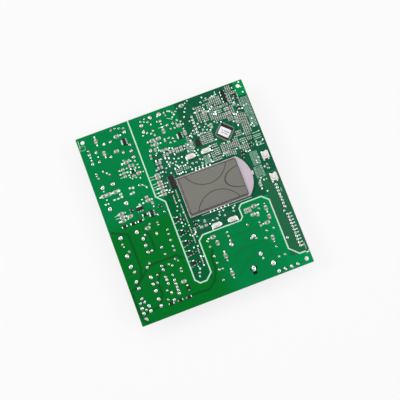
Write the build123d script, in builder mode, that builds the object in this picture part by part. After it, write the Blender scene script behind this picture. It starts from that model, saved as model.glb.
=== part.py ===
"""Control board of a gas boiler, with its solder side and display facing up.

Millimetres. +X runs to the right along the board's short side and +Y up its long side, as the
display is read, and +Z out of the solder side. The origin is the centre of the four fixing holes, on
the solder-side face.
Every place on the board is a share of its width and height in per cent, counted from the lower
left corner, so the layout follows the board when its size changes.
"""

import math
import os
from build123d import *

os.makedirs("parts", exist_ok=True)

# ---------------------------------------------------------------- driving dimensions
board_width = 135.6
board_height = 150.0
board_thickness = 1.6
board_corner = 0.8
fixing_hole_d = 3.3
fixing_inset_x = 4.3
fixing_inset_y = 4.0
lead_hole_d = 1.1
lead_d = 0.8
tall_height = 20.0
fit_gap = 0.05

print_thickness = 0.05
isolation_line_width = 1.0

joint_height = 0.9
joint_taper = 28.0
joint_small = 1.8
joint_medium = 2.3
joint_large = 2.8
joint_extra = 3.3
joint_sides = 6
resistor_sides = 8
moulded_break = 0.15
relay_corner = 0.8
film_corner = 0.6
foot_depth = 1.0

glass_width = 45.8
glass_depth = 28.7
glass_thickness = 0.9
polariser_thickness = 0.2
polariser_inset = 0.5
seal_width = 1.2
seal_thickness = 0.1
guide_thickness = 2.5
guide_border = 1.6
guide_bulge = 7.2
reflector_thickness = 0.2
display_pin_pitch = 2.85
display_pin_width = 0.7
display_pin_reach = 1.4
display_pin_height = 0.8
display_top_pins = 5
display_bottom_pins = 6
display_top_shift = -2.0
display_bottom_shift = -1.5
backlight_width = 1.4
backlight_length = 3.0
backlight_height = 1.0

chip_body = 10.0
chip_body_height = 1.4
chip_standoff = 0.1
chip_lead_pitch = 0.5
chip_lead_width = 0.24
chip_lead_length = 1.0
chip_turn = 45.0
chip_leads_a_side = 16
label_shift = -0.5
label_length = 8.8
label_width = 6.5
label_thickness = 0.1

soic_width = 3.9
soic_height = 1.5
soic_lead_pitch = 1.27
soic_lead_width = 0.45
soic_lead_length = 1.0
soic_end = 0.5
driver_leads_a_side = 8
memory_leads_a_side = 4
lead_thickness = 0.2

key_width = 6.0
key_depth = 3.6
key_height = 2.6
key_lead_length = 0.8
key_lead_width = 2.2
square_key_width = 5.4
square_key_depth = 5.6
square_key_height = 2.6
square_lead_width = 1.0
cap_length = 3.0
cap_depth = 1.5
cap_round_d = 3.2
cap_rise = 1.0
cap_flange = 0.4
cap_flange_height = 0.5
key_cover = 0.4
key_travel = 0.25
key_floor = 0.6

# ---------------------------------------------------------------- places on the board


def at(x, y):
    """A place on the board, in per cent of its width and height from the lower left corner."""
    return (board_width * (x / 100 - 0.5), board_height * (y / 100 - 0.5))


def places(shares):
    """Several places on the board, each given as in at()."""
    return [at(*share) for share in shares]


def around(centre, offsets, turn=0.0):
    """Offsets in millimetres about a centre, turned anticlockwise by an angle in degrees."""
    cosine = math.cos(math.radians(turn))
    sine = math.sin(math.radians(turn))
    return [
        (centre[0] + x * cosine - y * sine, centre[1] + x * sine + y * cosine) for x, y in offsets
    ]


def spread(count, pitch):
    """Positions of a row of equal steps about zero."""
    return [(i - (count - 1) / 2) * pitch for i in range(count)]


def block(centres, width, depth, low, high, turn=0.0):
    """Upright blocks of one size between two heights, added to the part being built."""
    with BuildSketch(Plane.XY.offset(low)) as outline:
        with Locations(*centres):
            Rectangle(width, depth, rotation=turn)
    extrude(outline.sketch, amount=high - low)


def post(centres, diameter, low, high):
    """Upright round posts between two heights, added to the part being built."""
    with BuildSketch(Plane.XY.offset(low)) as outline:
        with Locations(*centres):
            Circle(diameter / 2)
    extrude(outline.sketch, amount=high - low)


def save(part, name):
    """Label a finished piece and write it as its own file."""
    part.label = name
    export_step(part, f"parts/{name}.step")


solder_face = 0.0
parts_face = -board_thickness

fixing_holes = [
    (x * (board_width / 2 - fixing_inset_x), y * (board_height / 2 - fixing_inset_y))
    for x in (-1, 1)
    for y in (-1, 1)
]

# ---------------------------------------------------------------- hidden side: where it stands
transformer_centre = at(32.4, 88.1)
transformer_row_span = 13.8
transformer_pin_pitch = 5.2
transformer_pins = around(
    transformer_centre,
    [(-transformer_row_span / 2, y * transformer_pin_pitch) for y in (2, -1, -2)]
    + [(transformer_row_span / 2, y * transformer_pin_pitch) for y in (2, 1, -2)],
)

choke_centre = at(9.9, 52.5)
choke_pin_x = 12.9
choke_pin_y = 23.4
choke_pins = around(
    choke_centre, [(x * choke_pin_x / 2, y * choke_pin_y / 2) for x in (-1, 1) for y in (-1, 1)]
)

relay_width = 18.6
relay_depth = 15.0
relay_height = 15.4
relay_pin_span = 10.6
relay_coil_span = 10.9
relay_contact_pitch = 5.3
# Each relay is its middle, its contact legs and how far they sit off the middle, and its coil legs.
relays_at = [
    (at(20.6, 36.9), 3, 0.0, relay_coil_span),
    (at(17.2, 18.9), 3, -1.9, relay_coil_span),
    (at(17.2, 8.7), 2, -0.9, relay_coil_span / 2),
]
relay_contact_pins = [
    pin
    for centre, legs, shift, _ in relays_at
    for pin in around(
        centre, [(-relay_pin_span / 2, y + shift) for y in spread(legs, relay_contact_pitch)]
    )
]
relay_coil_pins = [
    pin
    for centre, _, _, span in relays_at
    for pin in around(centre, [(relay_pin_span / 2, y) for y in spread(2, span)])
]

igniter_width = 24.0
igniter_depth = 23.0
igniter_chamfer = 1.5
igniter_centre = at(67.5, 17.6)
igniter_pin_x = 17.8
igniter_pin_y = 14.2
igniter_pins = around(
    igniter_centre,
    [(x * igniter_pin_x / 2, y * igniter_pin_y / 2) for x, y in ((-1, 1), (1, 1), (1, -1))],
)

rectifier_width = 6.4
rectifier_depth = 8.3
rectifier_height = 3.3
rectifier_centre = at(6.6, 87.5)
rectifier_pin_x = 5.4
rectifier_pin_y = 7.7
rectifier_pins = around(
    rectifier_centre,
    [(x * rectifier_pin_x / 2, y * rectifier_pin_y / 2) for x in (-1, 1) for y in (-1, 1)],
)

fuse_d = 5.2
fuse_length = 20.0
fuse_cap_length = 5.0
fuse_axis_drop = 5.0
fuse_centre = at(5.1, 13.5)
clip_spacing = 19.2
clip_width = 6.4
clip_length = 4.0
clip_wall = 0.4
clip_leg_x = 5.4
clip_leg_y = 3.8
clip_tail_pitch = 5.2
clip_pins = around(
    fuse_centre,
    [(x * clip_leg_x / 2, y * clip_leg_y / 2 - clip_spacing / 2) for x in (-1, 1) for y in (-1, 1)]
    + [(0.0, clip_spacing / 2 + y) for y in spread(2, clip_tail_pitch)],
)

varistor_d = 12.0
varistor_thickness = 4.5
varistor_pitch = 8.3
varistor_places = [(at(8.3, 71.8), 0.0), (at(5.1, 32.3), 90.0)]

film_length = 13.0
film_depth = 5.0
film_height = 11.0
film_pitch = 10.0
film_centres = places([(19.2, 85.3), (9.7, 26.4)])

bulk_d = 12.5
bulk_pitch = 5.0
bulk_centre = at(16.2, 92.7)
output_d = 10.0
output_pitch = 4.6
output_centre = at(52.9, 90.7)
can_d = 8.0
can_height = 11.5
can_pitch = 3.8
can_places = [(at(42.8, 89.3), 90.0), (at(48.3, 83.7), 20.0)]

output_choke_d = 7.4
output_choke_height = 9.0
output_choke_pitch = 7.3
output_choke_centre = at(46.3, 97.5)

crystal_length = 11.0
crystal_depth = 4.6
crystal_height = 3.5
crystal_pitch = 4.9
crystal_turn = 45.0
crystal_centre = at(70.6, 83.2)

connector_wall = 0.8
connector_base = 2.0
connector_pin = 0.64
power_pitch = 4.97
power_ways = 4
power_height = 12.0
power_depth = 8.0
power_offset = 1.9
power_centre = at(85.6, 1.7)
edge_pitch = 2.54
edge_ways = (8, 11)
edge_height = 9.0
edge_depth = 5.8
edge_centres = places([(96.2, 36.7), (96.2, 18.2)])
service_ways = 7
service_depth = 2.5
service_height = 2.5
service_pin_reach = 6.0
service_centre = at(65.8, 85.3)
header_overhang = 2.4

spade_centre = at(67.7, 7.4)
spade_joint_width = 3.0
spade_joint_length = 4.6
spade_width = 0.8
spade_blade = 3.4
spade_length = 8.0
slot_width = 3.2
slot_length = 2.3

power_pins = around(power_centre, [(x, 0.0) for x in spread(power_ways, power_pitch)])
edge_pins = [
    pin
    for centre, ways in zip(edge_centres, edge_ways)
    for pin in around(centre, [(0.0, y) for y in spread(ways, edge_pitch)])
]
service_pins = around(service_centre, [(0.0, y) for y in spread(service_ways, edge_pitch)])
varistor_pins = [
    pin
    for centre, turn in varistor_places
    for pin in around(centre, [(x, 0.0) for x in spread(2, varistor_pitch)], turn)
]
film_pins = [
    pin for centre in film_centres for pin in around(centre, [(x, 0.0) for x in spread(2, film_pitch)])
]
bulk_pins = around(bulk_centre, [(x, 0.0) for x in spread(2, bulk_pitch)])
output_pins = around(output_centre, [(x, 0.0) for x in spread(2, output_pitch)])
can_pins = [
    pin
    for centre, turn in can_places
    for pin in around(centre, [(x, 0.0) for x in spread(2, can_pitch)], turn)
]
output_choke_pins = around(output_choke_centre, [(x, 0.0) for x in spread(2, output_choke_pitch)])
crystal_pins = around(crystal_centre, [(x, 0.0) for x in spread(2, crystal_pitch)], crystal_turn)

# Two-legged parts lie between their two holes.
resistor_d = 2.4
resistor_length = 4.6
resistor_spans = [
    ((5.0, 76.9), (11.4, 77.0)),
    ((25.0, 29.5), (30.5, 29.7)),
    ((24.9, 18.5), (30.2, 18.7)),
    ((68.4, 94.0), (74.6, 94.1)),
    ((49.8, 12.8), (49.9, 7.3)),
]
disc_d = 4.4
disc_thickness = 2.4
disc_spans = [
    ((4.6, 79.5), (8.6, 79.5)),
    ((30.5, 35.0), (30.5, 31.8)),
    ((30.8, 40.6), (30.7, 38.3)),
    ((49.9, 19.8), (50.0, 16.3)),
    ((81.9, 22.6), (86.1, 22.7)),
    ((82.9, 8.4), (86.5, 8.4)),
    ((79.8, 27.7), (79.9, 25.9)),
    ((56.5, 96.0), (58.3, 96.0)),
]
link_spans = [
    ((22.7, 46.3), (27.0, 45.7)),
    ((20.5, 98.3), (22.9, 98.5)),
    ((42.8, 94.0), (46.6, 94.2)),
    ((26.5, 22.9), (30.4, 24.2)),
    ((52.1, 97.4), (52.1, 95.8)),
    ((61.1, 28.8), (61.1, 26.7)),
    ((40.3, 97.8), (41.6, 95.7)),
    ((25.0, 24.1), (29.2, 25.4)),
]

# Joints of parts whose legs end under the solder, by size.
small_joints = places([
    (25.1, 97.9), (4.6, 92.1), (49.6, 81.6), (52.2, 81.4), (27.5, 97.1), (37.8, 97.1),
    (61.1, 24.4), (28.8, 49.3), (32.7, 49.6), (4.9, 41.4), (18.4, 41.9),
    (18.9, 33.4), (7.0, 36.9), (15.3, 27.9), (17.0, 21.2), (15.8, 17.6),
    (19.2, 12.3), (18.1, 8.0), (5.1, 7.1), (30.4, 20.2),
    (54.4, 97.5), (39.2, 90.5), (41.3, 89.4), (36.5, 78.9), (36.4, 77.3),
    (39.2, 83.5), (56.3, 89.9), (57.4, 91.5), (52.4, 88.3), (54.7, 88.1), (51.7, 83.3),
    (64.0, 83.3), (64.2, 81.7), (62.1, 80.6), (67.9, 84.0), (67.8, 86.0), (73.5, 95.9),
    (61.5, 70.5), (50.7, 72.4), (44.5, 71.4), (46.8, 71.2), (48.6, 71.3), (63.2, 67.7),
    (62.3, 66.0), (57.2, 67.5), (59.4, 67.4), (95.8, 53.9), (95.8, 51.9), (42.6, 52.1),
    (60.8, 38.1), (58.8, 36.9), (63.5, 37.1), (56.3, 36.9), (68.8, 37.6), (49.3, 27.9),
    (49.6, 25.0), (73.0, 28.7), (51.8, 12.7), (72.4, 21.7), (74.6, 10.4),
    (82.3, 34.3), (77.8, 6.3), (83.6, 13.5), (24.9, 40.7), (24.9, 66.6), (95.1, 28.8),
])
medium_joints = places([
    (20.9, 24.5), (20.9, 18.8), (21.1, 17.3),
    (24.9, 15.8), (24.9, 13.9), (24.9, 12.1), (24.9, 10.5), (24.9, 8.9),
    (4.8, 12.9), (3.2, 10.9), (5.6, 10.9), (48.4, 93.9), (79.9, 19.3),
    (91.0, 15.7), (27.7, 87.9),
])
large_joints = places([(79.3, 6.4)])

# ---------------------------------------------------------------- solder side: chips
# Each chip is a place, then its turn in degrees: 0 along X, 90 along Y.
long_chip = (3.2, 1.6, 1.0)
wide_chip = (2.0, 1.25, 0.7)
tiny_chip = (1.6, 0.8, 0.5)

long_capacitors = [
    ((36.1, 68.1), 0), ((36.1, 66.7), 0), ((36.1, 64.3), 0), ((36.1, 62.9), 0),
    ((36.1, 61.4), 0), ((36.1, 59.3), 0), ((36.1, 57.8), 0), ((10.5, 95.5), 90),
    ((12.7, 88.0), 90), ((19.5, 86.9), 0), ((22.4, 79.8), 0), ((27.0, 72.5), 0),
    ((26.5, 57.7), 0), ((44.0, 85.7), 0), ((57.5, 88.4), 0), ((59.1, 83.7), 90),
    ((29.4, 13.6), 0), ((78.2, 32.5), 0), ((88.1, 45.5), 90), ((86.1, 28.7), 90),
    ((62.7, 97.6), 0), ((74.3, 82.4), 90), ((48.2, 88.3), 90), ((73.6, 90.1), 0),
]
long_resistors = [
    ((10.0, 56.0), 0), ((10.0, 54.1), 0), ((10.0, 52.4), 0), ((14.2, 53.3), 0),
    ((21.1, 44.7), 0), ((4.4, 67.5), 0), ((7.2, 67.5), 0), ((11.2, 67.5), 0),
    ((22.3, 94.2), 0), ((40.3, 85.7), 0), ((41.6, 83.2), 0),
    ((55.8, 18.0), 90), ((55.8, 8.9), 90), ((83.6, 18.3), 90), ((86.1, 33.3), 90),
    ((83.9, 26.3), 0), ((52.9, 29.0), 0), ((54.2, 25.5), 90), ((80.2, 36.3), 0),
]
wide_capacitors = [
    ((19.2, 76.9), 0), ((19.2, 74.9), 0), ((19.2, 73.1), 0), ((23.5, 77.5), 90),
    ((25.5, 77.3), 90), ((23.9, 71.9), 0), ((26.3, 59.6), 0), ((28.3, 55.9), 90),
    ((38.2, 73.7), 90), ((40.1, 73.7), 90), ((38.2, 71.2), 90), ((40.1, 71.2), 90),
    ((43.4, 79.1), 0), ((45.7, 79.1), 0), ((43.7, 76.4), 90), ((45.6, 76.4), 90),
    ((47.5, 77.1), 90), ((49.4, 77.1), 90), ((51.5, 76.0), 0), ((51.5, 77.5), 0),
    ((54.0, 76.0), 0), ((54.0, 77.5), 0), ((40.1, 80.7), 90), ((85.1, 66.7), 90),
    ((86.7, 85.6), 90), ((85.0, 85.6), 90), ((85.0, 87.9), 90), ((86.7, 87.9), 90),
    ((88.8, 82.1), 90), ((88.8, 80.0), 90), ((90.9, 88.8), 0), ((83.3, 90.0), 0),
    ((75.0, 36.1), 0), ((77.2, 36.1), 0), ((75.0, 34.7), 0), ((77.2, 34.7), 0),
    ((80.7, 31.4), 45), ((51.8, 38.0), 90), ((51.8, 35.7), 0), ((49.1, 35.6), 0),
    ((45.0, 35.9), 90), ((60.5, 77.3), 90), ((60.5, 75.2), 90), ((67.8, 80.3), 0),
]
# Fields of tiny chips: the field's middle, columns, rows, turn.
chip_fields = [
    ((71.6, 77.3), 2, 6, 0), ((67.8, 76.8), 2, 5, 0), ((79.8, 69.3), 5, 2, 90),
    ((81.3, 65.6), 2, 2, 90), ((75.4, 69.2), 1, 3, 90), ((72.4, 68.8), 2, 4, 0),
    ((92.0, 74.4), 3, 4, 90), ((92.2, 80.5), 3, 4, 90), ((88.2, 70.0), 2, 2, 0),
    ((79.8, 85.1), 4, 2, 90), ((76.5, 87.3), 2, 3, 90), ((81.4, 88.0), 2, 2, 0),
    ((79.6, 94.3), 3, 2, 90), ((90.6, 97.7), 3, 2, 90), ((69.3, 89.1), 2, 3, 90),
    ((71.8, 88.4), 1, 4, 0), ((77.1, 96.0), 2, 1, 0), ((87.3, 74.4), 2, 2, 0),
    ((42.9, 42.0), 1, 3, 90), ((42.9, 36.1), 1, 2, 90), ((42.9, 30.9), 1, 2, 90),
    ((42.9, 25.2), 1, 2, 90), ((42.9, 19.9), 1, 2, 90), ((40.4, 53.3), 1, 3, 90),
    ((42.8, 55.7), 1, 3, 90), ((52.9, 66.4), 3, 1, 90), ((48.5, 66.7), 4, 1, 90),
    ((71.1, 92.8), 2, 3, 0), ((73.6, 87.3), 1, 4, 0), ((79.9, 90.3), 4, 1, 90),
    ((83.2, 84.9), 2, 2, 90), ((86.0, 90.3), 3, 1, 90), ((83.0, 93.7), 3, 3, 90),
    ((76.9, 92.9), 2, 2, 90), ((94.4, 77.7), 1, 7, 90), ((90.0, 80.7), 1, 3, 90),
    ((71.1, 65.3), 3, 2, 0), ((72.0, 72.3), 2, 2, 0), ((69.4, 67.9), 1, 3, 0),
    ((84.1, 69.9), 3, 3, 90), ((78.0, 66.1), 4, 2, 90), ((88.0, 66.1), 4, 2, 90),
    ((76.4, 69.9), 1, 3, 90), ((91.9, 69.9), 3, 1, 90), ((86.5, 72.8), 3, 1, 0),
    ((89.5, 92.8), 2, 4, 90), ((94.4, 90.5), 1, 5, 90), ((92.2, 95.1), 3, 1, 90),
    ((59.4, 80.3), 1, 3, 0), ((42.8, 47.3), 1, 4, 90), ((86.0, 82.9), 3, 2, 90),
    ((88.7, 86.7), 2, 3, 90),
]
diode_size = (2.6, 1.7, 1.2)
diodes = [
    ((38.1, 43.5), 90), ((38.1, 36.5), 90), ((38.1, 30.9), 90), ((38.1, 25.6), 90),
    ((38.1, 20.3), 90), ((9.4, 49.4), 0), ((14.4, 49.4), 0), ((18.7, 49.4), 0),
    ((19.0, 5.7), 0), ((24.2, 5.7), 0), ((29.1, 5.7), 0), ((30.5, 10.0), 90),
    ((22.2, 51.6), 0), ((87.0, 97.3), 0), ((87.0, 95.7), 0), ((87.0, 93.7), 0),
    ((87.0, 92.0), 0), ((24.2, 74.3), 0),
]
transistor_size = (2.6, 1.4, 1.0)
transistors = [
    ((92.4, 93.7), 0), ((92.9, 91.5), 90), ((92.6, 86.6), 0), ((92.5, 84.7), 0),
    ((92.0, 68.1), 0), ((91.4, 66.1), 0), ((85.6, 63.6), 0), ((85.1, 61.9), 0),
    ((46.6, 38.9), 0), ((46.7, 37.1), 0), ((40.6, 56.6), 0), ((31.6, 52.8), 60),
    ((16.0, 55.8), 90), ((40.5, 42.3), 90), ((40.5, 36.1), 90), ((40.5, 30.9), 90),
    ((40.5, 25.2), 90), ((40.5, 19.9), 90),
]
power_size = (5.0, 2.6, 1.6)
power_transistors = [((25.4, 90.2), 90), ((26.1, 50.9), 90), ((20.6, 55.2), 0), ((55.9, 83.2), 90)]

isolation_route = [
    (31.1, 100.0), (31.1, 58.1), (35.3, 54.1), (35.3, 12.3), (37.5, 10.1), (41.4, 10.1),
    (45.1, 13.2), (45.1, 29.7), (48.1, 31.9), (70.6, 31.9), (72.1, 33.3), (72.1, 37.9),
    (74.0, 39.6), (86.0, 39.6), (89.5, 36.7), (89.5, 10.4), (94.2, 6.3), (100.0, 6.3),
]

# ---------------------------------------------------------------- board, print and solder
wire_ends = [at(*end) for span in resistor_spans + disc_spans + link_spans for end in span]
leads = (
    transformer_pins + choke_pins + relay_contact_pins + relay_coil_pins + igniter_pins
    + rectifier_pins + clip_pins + varistor_pins + film_pins + bulk_pins + output_pins + can_pins
    + output_choke_pins + crystal_pins + wire_ends
)
connector_pins_at = power_pins + edge_pins + service_pins

with BuildPart() as circuit_board:
    with BuildSketch(Plane.XY.offset(parts_face)):
        RectangleRounded(board_width, board_height, board_corner)
        with Locations(*fixing_holes):
            Circle(fixing_hole_d / 2, mode=Mode.SUBTRACT)
        with Locations(*leads, *connector_pins_at):
            RegularPolygon(lead_hole_d / 2, joint_sides, major_radius=False, mode=Mode.SUBTRACT)
        with Locations(spade_centre):
            Rectangle(spade_width + 2 * fit_gap, spade_blade + 2 * fit_gap, mode=Mode.SUBTRACT)
        with Locations((spade_centre[0], spade_centre[1] - spade_joint_length / 2 - slot_length / 2)):
            Rectangle(slot_width, slot_length, mode=Mode.SUBTRACT)
    extrude(amount=board_thickness)
save(circuit_board.part, "circuit_board")

with BuildPart() as isolation_line:
    with BuildSketch(Plane.XY):
        with BuildLine():
            Polyline(*places(isolation_route))
        trace(line_width=isolation_line_width)
        Rectangle(board_width, board_height, mode=Mode.INTERSECT)
    extrude(amount=print_thickness)
save(isolation_line.part, "isolation_line")


def solder(points, diameter):
    """Tapered solder joints of one size, added to the part being built."""
    with BuildSketch(Plane.XY) as feet:
        with Locations(*points):
            RegularPolygon(diameter / 2, joint_sides)
    extrude(feet.sketch, amount=joint_height, taper=joint_taper)


with BuildPart() as solder_joints:
    solder(small_joints + wire_ends + crystal_pins + can_pins, joint_small)
    solder(
        medium_joints + edge_pins + service_pins + bulk_pins + output_pins + relay_coil_pins
        + rectifier_pins + film_pins,
        joint_medium,
    )
    solder(large_joints + transformer_pins + relay_contact_pins + clip_pins + power_pins, joint_large)
    solder(choke_pins + varistor_pins + igniter_pins + output_choke_pins, joint_extra)
    with BuildSketch(Plane.XY):
        with Locations(spade_centre):
            Rectangle(spade_joint_width, spade_joint_length)
    extrude(amount=joint_height, taper=joint_taper)
save(solder_joints.part, "solder_joints")

with BuildPart() as component_leads:
    block(leads, lead_d, lead_d, parts_face, solder_face)
save(component_leads.part, "component_leads")

# ---------------------------------------------------------------- display
glass_centre = at(63.0, 52.4)
guide_low = solder_face + reflector_thickness
guide_high = guide_low + guide_thickness
glass_left = glass_centre[0] - glass_width / 2
glass_right = glass_centre[0] + glass_width / 2
glass_top = glass_centre[1] + glass_depth / 2
glass_bottom = glass_centre[1] - glass_depth / 2
guide_left = glass_left - guide_border
guide_right = glass_right + guide_border / 2
guide_top = glass_top + guide_border
guide_bottom = glass_bottom - guide_border

with BuildPart() as display_reflector:
    block(
        [((guide_left + guide_right) / 2, (guide_top + guide_bottom) / 2)],
        guide_right - guide_left,
        guide_top - guide_bottom,
        solder_face,
        guide_low,
    )
save(display_reflector.part, "display_reflector")

with BuildPart() as light_guide:
    with BuildSketch(Plane.XY.offset(guide_low)):
        with BuildLine():
            Polyline(
                (guide_right, guide_top),
                (guide_left, guide_top),
                (guide_left, guide_bottom),
                (guide_right, guide_bottom),
            )
            ThreePointArc(
                (guide_right, guide_bottom),
                (guide_right + guide_bulge, (guide_top + guide_bottom) / 2),
                (guide_right, guide_top),
            )
        make_face()
    extrude(amount=guide_thickness)
save(light_guide.part, "light_guide")

rear_high = guide_high + glass_thickness
front_low = rear_high + seal_thickness
front_high = front_low + glass_thickness

with BuildPart() as rear_glass:
    block([glass_centre], glass_width, glass_depth, guide_high, rear_high)
save(rear_glass.part, "rear_glass")

with BuildPart() as glass_seal:
    with BuildSketch(Plane.XY.offset(rear_high)):
        with Locations(glass_centre):
            Rectangle(glass_width, glass_depth)
            Rectangle(glass_width - 2 * seal_width, glass_depth - 2 * seal_width, mode=Mode.SUBTRACT)
    extrude(amount=seal_thickness)
save(glass_seal.part, "glass_seal")

with BuildPart() as front_glass:
    block([glass_centre], glass_width, glass_depth, front_low, front_high)
save(front_glass.part, "front_glass")

with BuildPart() as front_polariser:
    block(
        [glass_centre],
        glass_width - 2 * polariser_inset,
        glass_depth - 2 * polariser_inset,
        front_high,
        front_high + polariser_thickness,
    )
save(front_polariser.part, "front_polariser")

pins_middle = glass_centre[0]
top_pin_x = [
    pins_middle + display_top_shift + x for x in spread(display_top_pins, display_pin_pitch)
]
bottom_pin_x = [
    pins_middle + display_bottom_shift + x for x in spread(display_bottom_pins, display_pin_pitch)
]
with BuildPart() as display_pins:
    block(
        [(x, guide_top + display_pin_reach / 2) for x in top_pin_x]
        + [(x, guide_bottom - display_pin_reach / 2) for x in bottom_pin_x],
        display_pin_width,
        display_pin_reach,
        solder_face,
        display_pin_height,
    )
save(display_pins.part, "display_pins")

with BuildPart() as backlight_led:
    block(
        [(guide_right + guide_bulge + backlight_width / 2, (guide_top + guide_bottom) / 2)],
        backlight_width,
        backlight_length,
        solder_face,
        backlight_height,
    )
save(backlight_led.part, "backlight_led")

# ---------------------------------------------------------------- microcontroller
chip_centre = at(80.3, 77.1)
lead_rows = [
    (chip_body / 2 + chip_lead_length / 2, y) for y in spread(chip_leads_a_side, chip_lead_pitch)
]

with BuildPart() as microcontroller:
    block(
        [chip_centre],
        chip_body,
        chip_body,
        solder_face + chip_standoff,
        solder_face + chip_standoff + chip_body_height,
        chip_turn,
    )
    chamfer(microcontroller.edges().group_by(Axis.Z)[-1], moulded_break)
save(microcontroller.part, "microcontroller")

with BuildPart() as microcontroller_leads:
    for quarter in range(4):
        block(
            around(chip_centre, lead_rows, chip_turn + 90 * quarter),
            chip_lead_length,
            chip_lead_width,
            solder_face,
            solder_face + lead_thickness,
            chip_turn + 90 * quarter,
        )
save(microcontroller_leads.part, "microcontroller_leads")

label_low = solder_face + chip_standoff + chip_body_height
label_centre = (chip_centre[0] + label_shift, chip_centre[1] + label_shift)
with BuildPart() as chip_label:
    block(
        [label_centre], label_length, label_width, label_low, label_low + label_thickness, -chip_turn
    )
save(chip_label.part, "chip_label")


def soic(centre, pins_each_side):
    """Body length and lead places of a small-outline chip standing along Y."""
    length = (pins_each_side - 1) * soic_lead_pitch + 2 * soic_end
    side = soic_width / 2 + soic_lead_length / 2
    return length, around(
        centre, [(x * side, y) for x in (-1, 1) for y in spread(pins_each_side, soic_lead_pitch)]
    )


driver_centre = (guide_left - soic_width / 2 - soic_lead_length - fit_gap, at(42.7, 62.3)[1])
memory_centre = at(63.8, 76.6)
driver_length, driver_leads_at = soic(driver_centre, driver_leads_a_side)
memory_length, memory_leads_at = soic(memory_centre, memory_leads_a_side)
for name, centre, length in (
    ("driver_chip", driver_centre, driver_length),
    ("memory_chip", memory_centre, memory_length),
):
    with BuildPart() as body:
        block([centre], soic_width, length, chip_standoff, soic_height)
        chamfer(body.edges().group_by(Axis.Z)[-1], moulded_break)
    save(body.part, name)

with BuildPart() as small_outline_leads:
    block(
        driver_leads_at + memory_leads_at,
        soic_lead_length,
        soic_lead_width,
        solder_face,
        lead_thickness,
    )
save(small_outline_leads.part, "small_outline_leads")

# ---------------------------------------------------------------- small surface parts


def chips(placed, size):
    """Rectangular chips of one size at their places and turns, added to the part being built."""
    for turn in sorted({own_turn for _, own_turn in placed}):
        centres = [at(*place) for place, own_turn in placed if own_turn == turn]
        block(centres, size[0], size[1], solder_face, size[2], turn)


field_steps = {0: (1.7, 1.0), 90: (1.1, 1.5)}


def field(middle, columns, rows, turn):
    """Places of a field of tiny chips, in steps that are shares of the board."""
    step_x, step_y = field_steps[turn]
    return [
        at(middle[0] + x, middle[1] + y)
        for x in spread(columns, step_x)
        for y in spread(rows, step_y)
    ]


with BuildPart() as chip_capacitors:
    chips(long_capacitors, long_chip)
    chips(wide_capacitors, wide_chip)
save(chip_capacitors.part, "chip_capacitors")

with BuildPart() as chip_resistors:
    chips(long_resistors, (long_chip[0], long_chip[1], wide_chip[2]))
    for turn in (0, 90):
        centres = [c for f in chip_fields if f[3] == turn for c in field(*f)]
        block(centres, tiny_chip[0], tiny_chip[1], solder_face, tiny_chip[2], turn)
save(chip_resistors.part, "chip_resistors")

for name, placed, size in (
    ("surface_diodes", diodes, diode_size),
    ("surface_transistors", transistors, transistor_size),
    ("power_transistors", power_transistors, power_size),
):
    with BuildPart() as group:
        chips(placed, size)
    save(group.part, name)

# ---------------------------------------------------------------- key switches
cap_low = solder_face + key_floor + key_travel + fit_gap
long_keys = places([(57.2, 71.1), (66.5, 71.1), (57.2, 33.9), (66.7, 33.9)])
square_keys = places([(96.5, 58.5), (96.5, 46.5)])


def long_cap(grow):
    """Outline of a long key's cap, grown all round."""
    Rectangle(cap_length + 2 * grow, cap_depth + 2 * grow)


def round_cap(grow):
    """Outline of a round key's cap, grown all round."""
    Circle(cap_round_d / 2 + grow)


def key_base(centres, width, depth, height, outline):
    """Key housings with a stepped pocket that lets the cap move and keeps it in."""
    block(centres, width, depth, solder_face, height)
    cuts = (
        (key_floor, height - key_cover, cap_flange + fit_gap),
        (height - key_cover, height, fit_gap),
    )
    for low, high, grow in cuts:
        with BuildSketch(Plane.XY.offset(low)) as pocket:
            with Locations(*centres):
                outline(grow)
        extrude(pocket.sketch, amount=high - low, mode=Mode.SUBTRACT)


def key_cap(centre, height, outline):
    """A key's cap with its flange under the cover, at rest."""
    flange_high = height - key_cover - fit_gap
    for low, high, grow in (
        (flange_high - cap_flange_height, flange_high, cap_flange),
        (flange_high, height + cap_rise, 0.0),
    ):
        with BuildSketch(Plane.XY.offset(low)) as step:
            with Locations(centre):
                outline(grow)
        extrude(step.sketch, amount=high - low)


with BuildPart() as long_key_bases:
    key_base(long_keys, key_width, key_depth, key_height, long_cap)
save(long_key_bases.part, "long_key_bases")

with BuildPart() as square_key_bases:
    key_base(square_keys, square_key_width, square_key_depth, square_key_height, round_cap)
save(square_key_bases.part, "square_key_bases")

with BuildPart() as key_leads:
    block(
        [
            pin
            for centre in long_keys
            for pin in around(centre, [(x * (key_width + key_lead_length) / 2, 0) for x in (-1, 1)])
        ],
        key_lead_length,
        key_lead_width,
        solder_face,
        lead_thickness,
    )
    block(
        [
            pin
            for centre in square_keys
            for pin in around(
                centre,
                [
                    (x * square_key_width / 3, y * (square_key_depth + key_lead_length) / 2)
                    for x in (-1, 1)
                    for y in (-1, 1)
                ],
            )
        ],
        square_lead_width,
        key_lead_length,
        solder_face,
        lead_thickness,
    )
save(key_leads.part, "key_leads")

for number, centre in enumerate(long_keys, start=1):
    with BuildPart() as cap:
        key_cap(centre, key_height, long_cap)
    save(cap.part, f"key_cap_{number}")

for number, centre in enumerate(square_keys, start=len(long_keys) + 1):
    with BuildPart() as cap:
        key_cap(centre, square_key_height, round_cap)
    save(cap.part, f"key_cap_{number}")

# ---------------------------------------------------------------- hidden side: transformer
floor_face = parts_face - tall_height
bobbin_base = 4.0
bobbin_length = 26.0
bobbin_wall = 1.2
bobbin_border = 1.5
core_length = 21.0
core_width = 19.5
core_leg = 4.5
core_thickness = 5.5
core_height = parts_face - bobbin_base - (tall_height - bobbin_base) / 2
winding_room = core_length - 2 * core_leg
window = (core_width - 3 * core_leg) / 2


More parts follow.
